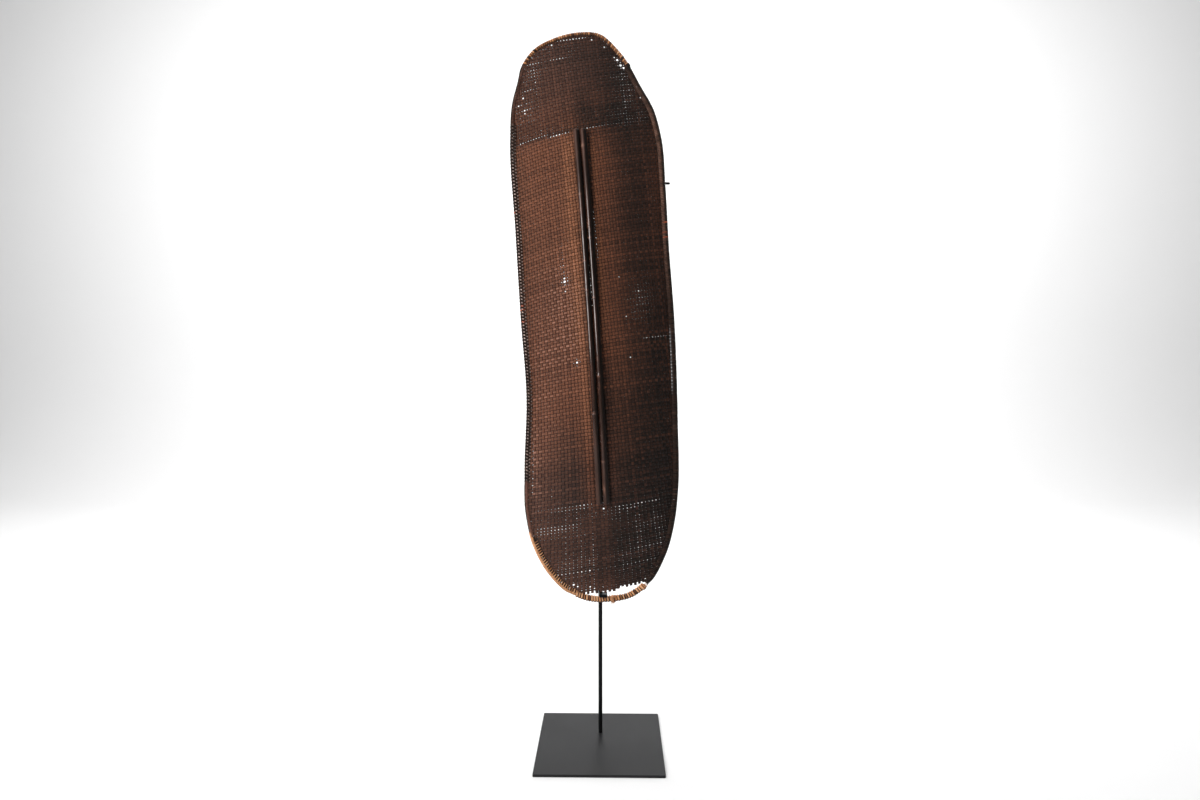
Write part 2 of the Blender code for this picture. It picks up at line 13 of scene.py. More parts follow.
import bpy
import numpy as np
from bpy.props import FloatProperty, FloatVectorProperty, IntProperty, PointerProperty
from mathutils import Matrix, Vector


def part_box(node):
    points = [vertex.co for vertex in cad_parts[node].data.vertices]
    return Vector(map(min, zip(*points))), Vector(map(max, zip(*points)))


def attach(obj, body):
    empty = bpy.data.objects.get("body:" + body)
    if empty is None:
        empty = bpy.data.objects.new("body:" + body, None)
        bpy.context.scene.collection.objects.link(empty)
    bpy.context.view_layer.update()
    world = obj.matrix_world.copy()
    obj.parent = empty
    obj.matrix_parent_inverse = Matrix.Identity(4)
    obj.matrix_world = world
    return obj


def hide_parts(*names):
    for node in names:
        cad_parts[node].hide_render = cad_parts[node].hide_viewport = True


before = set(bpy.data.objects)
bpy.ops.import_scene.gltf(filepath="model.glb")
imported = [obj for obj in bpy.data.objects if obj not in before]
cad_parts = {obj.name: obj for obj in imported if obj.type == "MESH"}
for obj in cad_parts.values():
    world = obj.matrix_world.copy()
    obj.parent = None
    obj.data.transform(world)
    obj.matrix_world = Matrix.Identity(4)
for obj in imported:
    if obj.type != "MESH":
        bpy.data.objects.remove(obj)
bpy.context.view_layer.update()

bl_info = {
    "name": "Woven cane shield",
    "version": (1, 0, 0),
    "blender": (4, 5, 0),
    "location": "3D View > Sidebar > Shield",
    "description": "Weaves a tall cane shield, binds its hoop and finishes its steel stand",
    "category": "Add Mesh",
}

PANELS = tuple(sorted(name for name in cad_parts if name.startswith("panel_")))

# Outline, clockwise from the head: shares of the half width and of the half length
OUTLINE = (
    (0.072, 0.998), (0.282, 0.990), (0.528, 0.924), (0.769, 0.796), (0.895, 0.723),
    (0.974, 0.621), (0.991, 0.453), (0.991, 0.234), (1.005, 0.000), (0.974, -0.380),
    (0.933, -0.606), (0.867, -0.722), (0.728, -0.844), (0.446, -0.960), (0.256, -0.992),
    (0.000, -1.002), (-0.277, -0.995), (-0.538, -0.958), (-0.759, -0.886), (-0.923, -0.786),
    (-0.997, -0.657), (-0.974, -0.519), (-0.885, -0.248), (-0.890, 0.019), (-0.883, 0.336),
    (-0.872, 0.646), (-0.815, 0.774), (-0.733, 0.844), (-0.682, 0.891), (-0.523, 0.948),
    (-0.231, 0.986),
)
WAIST = 0.872
SHIELD_LENGTH = 1.369
SHIELD_WIDTH = 0.391
SHIELD_LEAN = radians(3.6)

# Swell of the sheet, as the solids have it
DOME_DEPTH = 0.062
DOME_PEAK_BELOW_MIDDLE = 0.070
DOME_POWER_HEAD = 2.2
DOME_POWER_FOOT = 3.5
SHEET_THICKNESS = 0.0045
TOUCH = 0.0003
TUCK = 0.0032

# Rim, with places along it as shares of the way round clockwise from the head
HOOP_RADIUS = 0.004
LASHED_RADIUS = 0.005
BUNDLE_RADIUS = 0.00725
HEAD_BINDING = (-0.0534, 0.0475)
HOOP_BREAK = (0.4590, 0.4612)
BUNDLE = (0.4612, 0.5212)
BARE_HOOP_END = 0.5827
BUNDLE_EASE = 0.0060
TORN_STRETCH = (0.4630, 0.5125)
TORN_EASE = 0.0045
TORN_GAP = 0.0098
TEAR_MIDDLE = 0.4790
TEAR_HALF_RUN = 0.0130
TEAR_DEPTH = 0.0100
TORN_MARGIN = 0.01
# A place on the rim away from the bundle and the tear
PLAIN_PLACE = 0.25

# Canes down the face, with their nodes as heights from their foot
CANE_RADIUS = 0.00725
CANE_ABOVE_MIDDLE = 0.445
CANE_BELOW_MIDDLE = 0.432
CANE_BOW = 0.004
CANE_NODE_SWELL = 0.07
LEFT_CANE_NODES = (0.217, 0.502, 0.570, 0.724)
RIGHT_CANE_NODES = (0.102, 0.302, 0.484, 0.622, 0.836)


def ease(x, start, end):
    """Smooth step from 0 at start to 1 at end: three squares less two cubes of the share."""
    t = np.clip((x - start) / (end - start), 0.0, 1.0)
    return t * t * (3.0 - 2.0 * t)


def window(x, start, end, run):
    """1 between start and end, easing to 0 over a run at each end."""
    return ease(x, start - run / 2, start + run / 2) * (1.0 - ease(x, end - run / 2, end + run / 2))


def bump(x, centre, reach):
    """Bell: e to the minus square of the distance over the reach."""
    return np.exp(-((x - centre) / reach) ** 2)


def series(x, numbers):
    """Sum of the numbers times the powers of x, from the power 0 on."""
    return sum(number * x**power for power, number in enumerate(numbers))


def stacked(*parts):
    """Arrays side by side, as the last axis of one."""
    return np.stack(np.broadcast_arrays(*parts), axis=-1)


def unit(ways):
    """Ways brought to a length of 1."""
    return ways / np.linalg.norm(ways, axis=-1, keepdims=True)


def bundle_share(share):
    """1 along the thick bundle at the foot, easing to 0 past its left end."""
    s = np.mod(share, 1.0)
    return window(s, BUNDLE[0] - BUNDLE_EASE, BUNDLE[1] + BUNDLE_EASE, BUNDLE_EASE)


def hoop_depth(share):
    """Depth of the hoop's middle inside the outer edge, so that what binds it meets that edge."""
    return LASHED_RADIUS + (BUNDLE_RADIUS - LASHED_RADIUS) * bundle_share(share)


def sheet_depth(share):
    """Depth of the sheet's edge: beside the rim, and further in where it has torn away."""
    s = np.mod(share, 1.0)
    slope = atan2(2 * DOME_DEPTH, WAIST * SHIELD_WIDTH / 2)
    beside = 2 * LASHED_RADIUS + TOUCH + SHEET_THICKNESS / 2 * sin(slope)
    loose = TORN_GAP * window(s, *TORN_STRETCH, TORN_EASE)
    from_middle = np.clip((s - TEAR_MIDDLE) / TEAR_HALF_RUN, -1.0, 1.0)
    tear = TEAR_DEPTH * np.cos(from_middle * pi / 2) ** 2
    return beside + 2 * (BUNDLE_RADIUS - LASHED_RADIUS) * bundle_share(s) + loose + tear


class Shield:
    """Outline, swell and place of the shield, read as whole arrays."""

    def __init__(self, fineness=200, samples=4000):
        knots = np.array(OUTLINE) * (SHIELD_WIDTH / 2, SHIELD_LENGTH / 2)
        curve = self.curve_through(knots, fineness)
        steps = np.linalg.norm(np.roll(curve, -1, axis=0) - curve, axis=1)
        self.girth = steps.sum()
        self.shares = np.append(0.0, np.cumsum(steps)) / self.girth
        self.closed = np.vstack([curve, curve[:1]])
        share = np.linspace(0.0, 1.0, samples)
        depth = sheet_depth(np.full(samples, PLAIN_PLACE))
        edge = self.inset(share, depth)
        self.head, self.foot = edge[:, 1].max(), edge[:, 1].min()
        first, last = sorted((edge[:, 1].argmax(), edge[:, 1].argmin()))
        self.sides = self.halves(edge, first, last)
        self.tucked = self.halves(self.inset(share, depth - TUCK), first, last)
        torn = np.linspace(TORN_STRETCH[0] - TORN_MARGIN, TORN_STRETCH[1] + TORN_MARGIN, samples)
        self.torn = self.inset(torn, sheet_depth(torn))[::-1]
        self.across_way = np.array([cos(SHIELD_LEAN), 0.0, sin(SHIELD_LEAN)])
        self.along_way = np.array([-sin(SHIELD_LEAN), 0.0, cos(SHIELD_LEAN)])
        self.place = np.zeros(3)
        room = self.in_room(np.insert(curve, 1, 0.0, axis=1))
        left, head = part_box("left_lashing")[0].x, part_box("head_binding")[1].z
        hoop_low, hoop_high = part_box("rim_hoop")
        self.place = np.array([left - room[:, 0].min(), (hoop_low.y + hoop_high.y) / 2,
                               head - room[:, 2].max()])

    @staticmethod
    def halves(edge, first, last):
        """The right and the left half of an edge, parted at its head and its foot, by height."""
        found = (edge[first:last + 1], np.vstack([edge[last:], edge[:first + 1]]))
        found = sorted(found, key=lambda half: -half[:, 0].mean())
        return [half[np.argsort(half[:, 1])] for half in found]

    @staticmethod
    def curve_through(knots, fineness):
        """Cubic curve through the knots, with tangents weighted by the chords beside them."""
        after = np.roll(knots, -1, axis=0)
        chord = after - knots
        run = np.linalg.norm(chord, axis=1)[:, None]
        chord_in, run_in = np.roll(chord, 1, axis=0), np.roll(run, 1, axis=0)
        tangent = (chord_in / run_in * run + chord / run * run_in) / (run_in + run)
        leave, arrive = tangent * run, np.roll(tangent, -1, axis=0) * run
        t = (np.arange(fineness) / fineness)[:, None]
        curve = ((2 * t**3 - 3 * t**2 + 1) * knots[:, None] + (t**3 - 2 * t**2 + t) * leave[:, None]
                 + (3 * t**2 - 2 * t**3) * after[:, None] + (t**3 - t**2) * arrive[:, None])
        return curve.reshape(-1, 2)

    def at(self, share):
        """Points (across, along) of the outer edge at the given shares."""
        s = np.mod(share, 1.0)
        return stacked(*(np.interp(s, self.shares, self.closed[:, k]) for k in (0, 1)))

    def outward(self, share, reach=0.004):
        """Unit normals of the outline, in the hoop's plane."""
        along = self.at(share + reach) - self.at(share - reach)
        return unit(stacked(-along[..., 1], along[..., 0]))

    def inset(self, share, depth):
        """Points at a depth inside the outer edge."""
        return self.at(share) - self.outward(share) * np.asarray(depth)[..., None]

    @staticmethod
    def half_widths(sides, along):
        """Distance from the middle line to the right and left edge at a height."""
        return [np.abs(np.interp(along, side[:, 1], side[:, 0])) for side in sides]

    def tear(self, across):
        """Height of the torn edge, and far below the foot beside it."""
        return np.interp(across, self.torn[:, 0], self.torn[:, 1], left=-9.0, right=-9.0)

    def rise(self, across, along):
        """Depth times the fall along the length times the fall across the width."""
        peak = -DOME_PEAK_BELOW_MIDDLE
        to_head = np.clip((along - peak) / (self.head - peak), 0.0, 1.0)
        to_foot = np.clip((peak - along) / (peak - self.foot), 0.0, 1.0)
        crown = 1.0 - to_head**DOME_POWER_HEAD - to_foot**DOME_POWER_FOOT
        right, left = self.half_widths(self.sides, along)
        half = np.maximum(np.where(across > 0, right, left), 1e-6)
        fall = 1.0 - np.clip(np.abs(across) / half, 0.0, 1.0)**2
        return DOME_DEPTH * np.clip(crown, 0.0, 1.0) * fall

    def room_inside(self, across, along, ragged):
        """How far a point lies inside the sheet's edge: least way to a side, an end or the tear."""
        right, left = self.half_widths(self.tucked, along)
        ends = np.minimum(self.head + TUCK - along, along - self.foot + TUCK)
        return np.minimum(np.minimum(right - across, across + left),
                          np.minimum(ends, along - self.tear(across) + ragged))

    def on_sheet(self, across, along, lift, step=0.002):
        """Points at a height over the middle of the sheet, square to it."""
        rise = self.rise(across, along)
        slope_across, slope_along = (
            (self.rise(across + u, along + v) - self.rise(across - u, along - v)) / (2 * step)
            for u, v in ((step, 0.0), (0.0, step)))
        size = np.sqrt(1.0 + slope_across**2 + slope_along**2)
        return stacked(across - lift * slope_across / size, rise + lift / size,
                       along - lift * slope_along / size)

    def round_hoop(self, share, out, proud):
        """Points beside the hoop's middle: a way out in its plane and a way proud of it."""
        flat = self.inset(share, hoop_depth(share)) + self.outward(share) * out[..., None]
        return stacked(flat[..., 0], proud, flat[..., 1])

    def in_room(self, points):
        """From the shield's frame (across, proud, along) to the room."""
        return (self.place + points[..., :1] * self.across_way + points[..., 2:] * self.along_way
                - points[..., 1:2] * np.array([0.0, 1.0, 0.0]))


shield = Shield()


def length_setting(name, text, size):
    """A length that a user may change."""
    return FloatProperty(name=name, description=text, default=size, unit="LENGTH", precision=4)


def angle_setting(name, text, angle):
    """An angle that a user may change."""
    return FloatProperty(name=name, description=text, default=angle, subtype="ANGLE")


def power_setting(name, text, power):
    """The power of a light that a user may change."""
    return FloatProperty(name=name, description=text, default=power, min=0.0)


def colour_setting(name, text, colour):
    """A colour that a user may change."""
    return FloatVectorProperty(name=name, description=text, default=colour, subtype="COLOR", size=3,
                               min=0, max=1)


def seed_setting(seed):
    """The number that the chance variations start from."""
    return IntProperty(name="Seed", description="Choice of the chance variations", default=seed)


class WeaveSizes(bpy.types.PropertyGroup):
    """Sizes of the woven sheet."""

    columns: IntProperty(name="Columns", description="Warps each side of the middle one",
                         default=32, min=1)
    column_pitch: length_setting("Column pitch", "Distance between warps", 0.0079)
    gap: length_setting("Gap", "Space between neighbouring warps", 0.0003)
    strip: length_setting("Strip thickness", "Thickness of one split cane", 0.0016)
    wave: length_setting("Wave", "How far a strip rises over another", 0.0011)
    lift: length_setting("Lift", "Height of the weave over the middle of the solid", 0.0004)
    seed: seed_setting(7)


class BindingSizes(bpy.types.PropertyGroup):
    """Sizes of what binds the hoop."""

    pitch: length_setting("Pitch", "Distance between turns of the plait", 0.0078)
    width: length_setting("Strip width", "Width of a plaited strip", 0.0038)
    strip: length_setting("Strip thickness", "Thickness of a binding strip", 0.0008)
    reach: length_setting("Braid width", "Width of the plaited left edge", 0.0150)
    seed: seed_setting(3)


class FinishColours(bpy.types.PropertyGroup):
    """Colours of the cane and the steel."""

    cane: colour_setting("Woven cane", "Brown of the woven strips", (0.225, 0.080, 0.041))
    mauve: colour_setting("Mauve cane", "Cooler brown at head and foot", (0.140, 0.060, 0.040))
    warm: colour_setting("Warm cane", "Orange brown beside the face canes", (0.390, 0.150, 0.072))
    # This darkest patina is also the colour of painted shade: in gaps, on undersides, on the right
    # side and beside the canes.
    soot_and_shade_colour: colour_setting("Soot", "Darkest patina", (0.014, 0.0100, 0.0085))
    # This pinkish brown is wear, and on the woven crests also a painted highlight.
    rubbed: colour_setting("Rubbed cane", "Pinkish brown where it is handled", (0.470, 0.235, 0.165))
    bare: colour_setting("Bare cane", "Tan where the patina has gone", (0.660, 0.280, 0.115))
    plate: colour_setting("Plate", "Charcoal of the base plate", (0.014, 0.014, 0.015))
    rod: colour_setting("Rod", "Black of the rod and the bar", (0.004, 0.004, 0.0045))


class StudioSettings(bpy.types.PropertyGroup):
    """Camera and light."""

    lens: length_setting("Lens", "Focal length", 0.0228)
    camera: FloatVectorProperty(name="Camera", description="Place of the camera", size=3,
                                subtype="TRANSLATION", default=(0.02813, -1.80786, 0.93417))
    pitch: angle_setting("Pitch", "Camera tilt downwards", radians(2.97))
    yaw: angle_setting("Yaw", "Camera turn to the left", radians(0.90))
    key: power_setting("Key light", "Power of the soft box on the left", 74.0)
    fill: power_setting("Fill light", "Power of the soft box in front", 24.0)
    top: power_setting("Top light", "Power of the broad light over the floor", 130.0)
    wall: power_setting("Wall light", "Power of the light on the backdrop", 196.0)
    sky: power_setting("Surround", "Strength of the even light all round", 0.08)


def mesh_piece(name, points, faces, values=None, uv=None):
    """A smooth mesh at the origin from an array of points and a list of arrays of faces.

    Points that no face uses are left out. Values are floats for each point, and uv two for each.
    """
    loops = np.concatenate([part.ravel() for part in faces])
    used, loops = np.unique(loops, return_inverse=True)
    sizes = np.concatenate([np.full(len(part), part.shape[1]) for part in faces])
    mesh = bpy.data.meshes.new(name)
    mesh.vertices.add(len(used))
    mesh.loops.add(len(loops))
    mesh.polygons.add(len(sizes))
    mesh.vertices.foreach_set("co", points.reshape(-1, 3)[used].astype(np.float32).ravel())
    mesh.loops.foreach_set("vertex_index", loops.astype(np.int32))
    mesh.polygons.foreach_set("loop_start", (np.cumsum(sizes) - sizes).astype(np.int32))
    mesh.update(calc_edges=True)
    mesh.shade_smooth()
    for key, value in (values or {}).items():
        layer = mesh.attributes.new(key, "FLOAT", "POINT")
        layer.data.foreach_set("value", value.ravel()[used].astype(np.float32))
    if uv is not None:
        layer = mesh.uv_layers.new(name="Strip")
        flat = uv.reshape(-1, 2)[used][loops]
        layer.data.foreach_set("uv", flat.astype(np.float32).ravel())
    piece = bpy.data.objects.new(name, mesh)
    bpy.context.scene.collection.objects.link(piece)
    return piece


def strand_faces(strands, stations, sides, alive=None, turned=False):
    """Quads and end caps of strands: each is a run of closed sections, skinned where it is alive.

    The faces point outwards where the sections run clockwise as seen along the strand, and are
    turned over for sections that run the other way.
    """
    if alive is None:
        alive = np.ones((strands, stations - 1), bool)
    side = np.arange(sides)
    after = (side + 1) % sides
    here = (np.arange(strands)[:, None, None] * stations + np.arange(stations - 1)[:, None]) * sides
    quads = stacked(here + side, here + after, here + sides + after, here + sides + side)[alive]
    some = alive.any(axis=1)
    first = alive.argmax(axis=1)[some]
    last = stations - 1 - alive[:, ::-1].argmax(axis=1)[some]
    base = np.arange(strands)[some] * stations * sides
    caps = np.concatenate([(base + first * sides)[:, None] + side[::-1],
                           (base + last * sides)[:, None] + side])
    faces = [quads.reshape(-1, 4), caps]
    return [face[:, ::-1] for face in faces] if turned else faces


def made(points, faces, along, across, **values):
    """A shape for mesh_piece: points in the room, faces, a value for each point, and a uv from the
    places along and across the cane."""
    values = {key: np.broadcast_to(value, points.shape[:-1]) for key, value in values.items()}
    return shield.in_room(points), faces, values, stacked(along, across)


def dress(piece, material, slot, *nodes):
    """Give a piece its finish, let it ride, and let it stand for the nodes."""
    piece.data.materials.append(material)
    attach(piece, "root")
    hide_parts(*nodes)


# Weave

ROW_PITCH_AT = (-0.60, -0.52, -0.35, 0.00, 0.55)
ROW_PITCH = (0.0061, 0.0068, 0.0083, 0.0078, 0.0071)
ROWS_FROM, ROWS_TO = -0.72, 0.73
CELL_SAMPLES = (0.0, 0.36, 0.64)
COLUMN_CROWDING = 0.0035
# Series of the height: power of the columns' spread, and their lean to the left
COLUMN_FAN = (0.0, -0.273, 0.311)
COLUMN_LEAN = (0.0, 0.023, 0.035)
# Series of the row's height on the middle: its slope, and its sag to both sides
ROW_SLOPE = (0.133, 0.172, -0.070, -0.549)
ROW_SAG = (-0.418, 0.148, 0.356)
# Small step in the rows at the middle line: height, place and reach along, reach across
ROW_STEP, STEP_AT, STEP_REACH, STEP_ACROSS = -0.0021, -0.25, 0.12, 0.03

# Gap between warps below the torn edge, and the run over which it closes above it
FRAYED_GAP = 0.0030
FRAYED_RUN = (0.003, 0.008)
# How far strips end past the torn edge, or short of it: wefts, and least and most of the warps
WEFT_STUB = -0.0045
WARP_STUBS = (-0.0010, 0.0055)
# Least share of its pitch that a strip keeps on each side of its line
NARROWEST = 0.16
# Cross-section of a woven strip: shares of the half width and the half thickness
WOVEN_ACROSS = np.array([-1.0, -0.66, 0.66, 1.0, 0.66, -0.66])
WOVEN_LIFT = np.array([0.0, 1.0, 1.0, 0.0, -1.0, -1.0])
# Distance in the strips' texture from one strip to the next
TEXTURE_STEP = 0.05

# Reach of a pin-hole from its corner, in strips, and how much of a column's line and of a loose
# field the odd and the even rows show
HOLE_REACH = 0.4
ODD_EVEN_LINE = (0.45, 1.35)
ODD_EVEN_LOOSE = (0.60, 1.20)

# Lines of pin-holes along rows and columns: first and last place (across, along), daylight
ROW_HOLES = (
    ((-0.15, 0.426), (-0.08, 0.432), 0.0015), ((-0.076, 0.433), (-0.026, 0.443), 0.0021),
    ((0.011, 0.451), (0.043, 0.452), 0.0014), ((0.045, 0.452), (0.12, 0.463), 0.0005),
    ((-0.172, -0.457), (-0.122, -0.45), 0.0008), ((-0.122, -0.45), (-0.026, -0.437), 0.0016),
    ((-0.128, -0.46), (-0.034, -0.448), 0.0012), ((0.028, -0.438), (0.136, -0.429), 0.0016),
    ((0.028, -0.452), (0.086, -0.446), 0.0014), ((-0.17, -0.499), (-0.065, -0.49), 0.0013),
    ((-0.17, -0.509), (-0.065, -0.497), 0.0015), ((-0.17, -0.516), (-0.1, -0.508), 0.0012),
    ((-0.13, -0.614), (-0.038, -0.6), 0.0024), ((-0.13, -0.603), (-0.068, -0.59), 0.0011),
    ((0.066, -0.545), (0.138, -0.535), 0.0014), ((0.06, -0.588), (0.116, -0.588), 0.001),
    ((0.112, -0.478), (0.144, -0.472), 0.0008), ((0.117, -0.045), (0.175, -0.04), 0.0011),
    ((-0.063, 0.619), (-0.026, 0.627), 0.0014), ((-0.04, 0.664), (0.022, 0.669), 0.0024),
    ((0.08, 0.568), (0.125, 0.566), 0.0008),
)
COLUMN_HOLES = (
    ((-0.035, -0.5), (-0.048, -0.646), 0.0008), ((-0.063, -0.431), (-0.067, -0.5), 0.001),
    ((-0.058, -0.52), (-0.06, -0.604), 0.0009), ((-0.094, -0.47), (-0.087, -0.603), 0.0007),
    ((0.08, -0.451), (0.08, -0.544), 0.0008), ((0.07, -0.467), (0.07, -0.589), 0.0007),
    ((0.13, -0.493), (0.122, -0.55), 0.0008), ((0.016, 0.25), (0.012, 0.13), 0.0008),
    ((0.0004, 0.164), (0.0, 0.03), 0.0012), ((0.0, -0.08), (0.001, -0.43), 0.001),
    ((0.105, 0.59), (0.107, 0.47), 0.0008), ((0.12, 0.57), (0.124, 0.495), 0.0008),
    ((-0.1668, -0.293), (-0.1755, -0.422), 0.0012), ((-0.061, 0.162), (-0.06, 0.11), 0.0009),
    ((-0.1207, -0.401), (-0.1216, -0.425), 0.001),
)
# Single holes: place (across, along), daylight, reach in strips
HOLES = (
    (-0.1325, 0.5306, 0.0034, 0.45), (-0.1413, 0.5167, 0.003, 0.45), (-0.1284, 0.509, 0.0032, 0.6),
    (-0.1267, 0.4965, 0.0026, 0.45), (-0.0593, 0.6503, 0.0028, 0.6), (0.0423, 0.6639, 0.0026, 0.45),
    (0.0712, 0.6446, 0.0022, 0.6), (0.0861, 0.6241, 0.0024, 0.45), (0.096, 0.6143, 0.005, 0.7),
    (0.1049, 0.604, 0.0055, 0.8), (0.1139, 0.5942, 0.0045, 0.7), (0.1457, 0.5173, 0.002, 0.45),
    (0.1134, 0.0647, 0.0022, 0.45), (0.0793, 0.0051, 0.002, 0.45), (0.0855, -0.0867, 0.0022, 0.45),
    (-0.0452, -0.0938, 0.0038, 0.8), (-0.0557, 0.094, 0.0046, 0.9), (-0.0577, 0.1011, 0.0034, 0.8),
    (-0.062, 0.0712, 0.0024, 0.6), (0.0685, 0.0966, 0.0012, 0.5), (-0.0005, -0.4435, 0.0034, 0.6),
    (-0.0921, -0.637, 0.0042, 0.8), (-0.0803, -0.6435, 0.0032, 0.6), (-0.0513, -0.6422, 0.003, 0.6),
)
# Loose fields: middle (across, along), reach across and along, daylight of the loosest lines
LOOSE_FIELDS = (
    (-0.13, 0.515, 0.026, 0.05, 0.0022), (-0.12, 0.57, 0.03, 0.04, 0.0013),
    (0.112, 0.545, 0.022, 0.075, 0.0009), (-0.06, 0.645, 0.06, 0.02, 0.0014),
    (-0.1, 0.445, 0.07, 0.012, 0.0014), (0.13, 0.475, 0.06, 0.016, 0.001),
    (0.112, 0.045, 0.03, 0.05, 0.0011), (-0.11, -0.49, 0.075, 0.045, 0.0013),
    (-0.095, -0.6, 0.05, 0.045, 0.0019), (-0.045, -0.575, 0.022, 0.06, 0.0011),
    (0.095, -0.5, 0.055, 0.06, 0.0012), (0.06, -0.59, 0.06, 0.045, 0.0011),
    (-0.063, 0.12, 0.01, 0.06, 0.0012), (-0.103, 0.602, 0.022, 0.024, 0.0022),
    (0.02, -0.46, 0.07, 0.016, 0.0013), (-0.03, -0.655, 0.075, 0.012, 0.0032),
)
# Sooty places, lighter places (the two just right of the right cane are painted light beside its
# shadow), and rubbed places (partly wear and partly painted highlight on the crests): middle (across,
# along), reach across and along, how much
SOOTY = (
    (0.01, 0.5, 0.026, 0.05, 0.5), (-0.11, 0.456, 0.075, 0.016, 0.35), (0.04, 0.64, 0.09, 0.06, 0.15),
    (-0.07, 0.64, 0.09, 0.05, 0.15), (0.1, 0.47, 0.08, 0.06, 0.2), (-0.062, -0.37, 0.04, 0.12, 0.5),
    (-0.11, -0.44, 0.05, 0.08, 0.25), (0.02, -0.52, 0.07, 0.09, 0.5), (-0.03, -0.6, 0.06, 0.06, 0.35),
    (0.024, -0.17, 0.016, 0.11, 0.45), (0.135, 0.35, 0.03, 0.12, 0.2),
    (-0.15, 0.25, 0.012, 0.3, 0.15), (0.11, -0.45, 0.09, 0.12, 0.3), (0.165, -0.06, 0.035, 0.17, 0.6),
    (-0.12, -0.54, 0.08, 0.06, 0.22), (0.08, 0.47, 0.07, 0.04, 0.75), (0.1, 0.56, 0.07, 0.06, 0.45),
    (0.03, 0.64, 0.06, 0.06, 0.25),
)
LIGHTER = (
    (0.027, -0.36, 0.009, 0.08, 0.75), (0.025, 0.05, 0.006, 0.12, 0.5),
    (0.165, 0.28, 0.014, 0.13, 0.4), (0.178, -0.38, 0.01, 0.12, 0.3),
)
RUBBED = (
    (-0.062, 0.02, 0.042, 0.11, 1.0), (-0.125, -0.12, 0.035, 0.2, 0.4),
    (-0.16, -0.33, 0.015, 0.12, 0.9),
)
# Height of the upper seam on the middle line, its slope, and where the painted shadows beside the
# face canes lie
SEAM_HEIGHT, SEAM_SLOPE = 0.4483, 0.13
CANE_SIDE = 0.0172


def row_heights(samples=4000):
    """Heights of the rows on the middle line: each is one pitch over the last."""
    fine = np.linspace(ROWS_FROM, ROWS_TO, samples)
    count = np.cumsum(np.gradient(fine) / np.interp(fine, ROW_PITCH_AT, ROW_PITCH))
    return fine, count - np.interp(0.0, fine, count)


ROW_FINE, ROW_COUNT = row_heights()


def column_line(column, along, pitch):
    """Across of a column: its place on the middle, spread towards head and foot, less the lean."""
    middle = pitch * column * (1.0 - COLUMN_CROWDING * np.abs(column))
    return middle * np.exp(series(along, COLUMN_FAN)) - series(along, COLUMN_LEAN)


def row_line(row, across):
    """Along of a row: its height on the middle, a slope, a sag to both sides and a small step."""
    v = np.interp(row, ROW_COUNT, ROW_FINE)
    step = ROW_STEP * bump(v, STEP_AT, STEP_REACH) * np.tanh(across / STEP_ACROSS)
    return v + series(v, ROW_SLOPE) * across + series(v, ROW_SAG) * across**2 / 2 + step


def crossing(column, row, pitch, turns=6):
    """Where a column and a row cross: by turns, each line is read at the other's last place."""
    column, row = np.broadcast_arrays(column, row)
    along = np.interp(row, ROW_COUNT, ROW_FINE)
    for _ in range(turns):
        across = column_line(column, along, pitch)
        along = row_line(row, across)
    return across, along


def corner_at(place, pitch):
    """Column and row of the corner between strips that is nearest to a place."""
    across, along = place
    column = (across + series(along, COLUMN_LEAN)) / (np.exp(series(along, COLUMN_FAN)) * pitch)
    column = column / (1.0 - COLUMN_CROWDING * abs(column))
    start = along - (row_line(0.0, across) - row_line(0.0, 0.0))
    row = np.interp(start, ROW_FINE, ROW_COUNT)
    return np.floor(column) + 0.5, np.floor(row) + 0.5


def speckle(column, row):
    """A chance-like share for each corner: the fraction of a large sine."""
    return np.mod(np.sin(np.floor(column) * 12.9898 + np.floor(row) * 78.233) * 437.585, 1.0)


def by_row(row, odd_even):
    """One number in the odd rows and another in the even ones."""
    return np.where(np.floor(row) % 2 > 0, *odd_even)


def fields(table, across, along):
    """Sum of soft fields: each a bell across and along times its amount."""
    total = np.zeros(np.broadcast(across, along).shape)
    for u, v, reach_u, reach_v, amount in table:
        total = total + amount * bump(across, u, reach_u) * bump(along, v, reach_v)
    return total


def daylight(column, row, across, along, pitch):
    """Extra space between strips at a corner: lines of pin-holes, single holes and loose places."""
    total = np.zeros(np.broadcast(column, row).shape)
    uneven = 0.55 + 0.75 * speckle(column, row)
    for start, end, size in ROW_HOLES:
        (c0, r0), (c1, _) = corner_at(start, pitch), corner_at(end, pitch)
        share = bump(row, r0, HOLE_REACH) * window(column, c0, c1, 1.0)
        total = np.maximum(total, size * share * uneven)
    for start, end, size in COLUMN_HOLES:
        (c0, r0), (_, r1) = corner_at(start, pitch), corner_at(end, pitch)
        share = bump(column, c0, HOLE_REACH) * window(row, min(r0, r1), max(r0, r1), 1.0)
        total = np.maximum(total, size * (share * by_row(row, ODD_EVEN_LINE)) * uneven)
    for u, v, size, reach in HOLES:
        c, r = corner_at((u, v), pitch)
        total = np.maximum(total, size * bump(column, c, reach) * bump(row, r, reach))
    corner_c, corner_r = np.floor(column) + 0.5, np.floor(row) + 0.5
    at_corner = bump(column, corner_c, HOLE_REACH) * bump(row, corner_r, HOLE_REACH)
    by_line = np.maximum(speckle(corner_c, 0.5), speckle(0.5, corner_r))
    by_place = speckle(corner_c * 3.1, corner_r * 1.7)
    loose = np.clip(by_line * 0.7 + 0.5 * by_place - 0.45, 0.0, 1.0) / 0.7
    open_up = fields(LOOSE_FIELDS, across, along) * loose * at_corner * by_row(row, ODD_EVEN_LOOSE)
    return np.maximum(total, open_up)


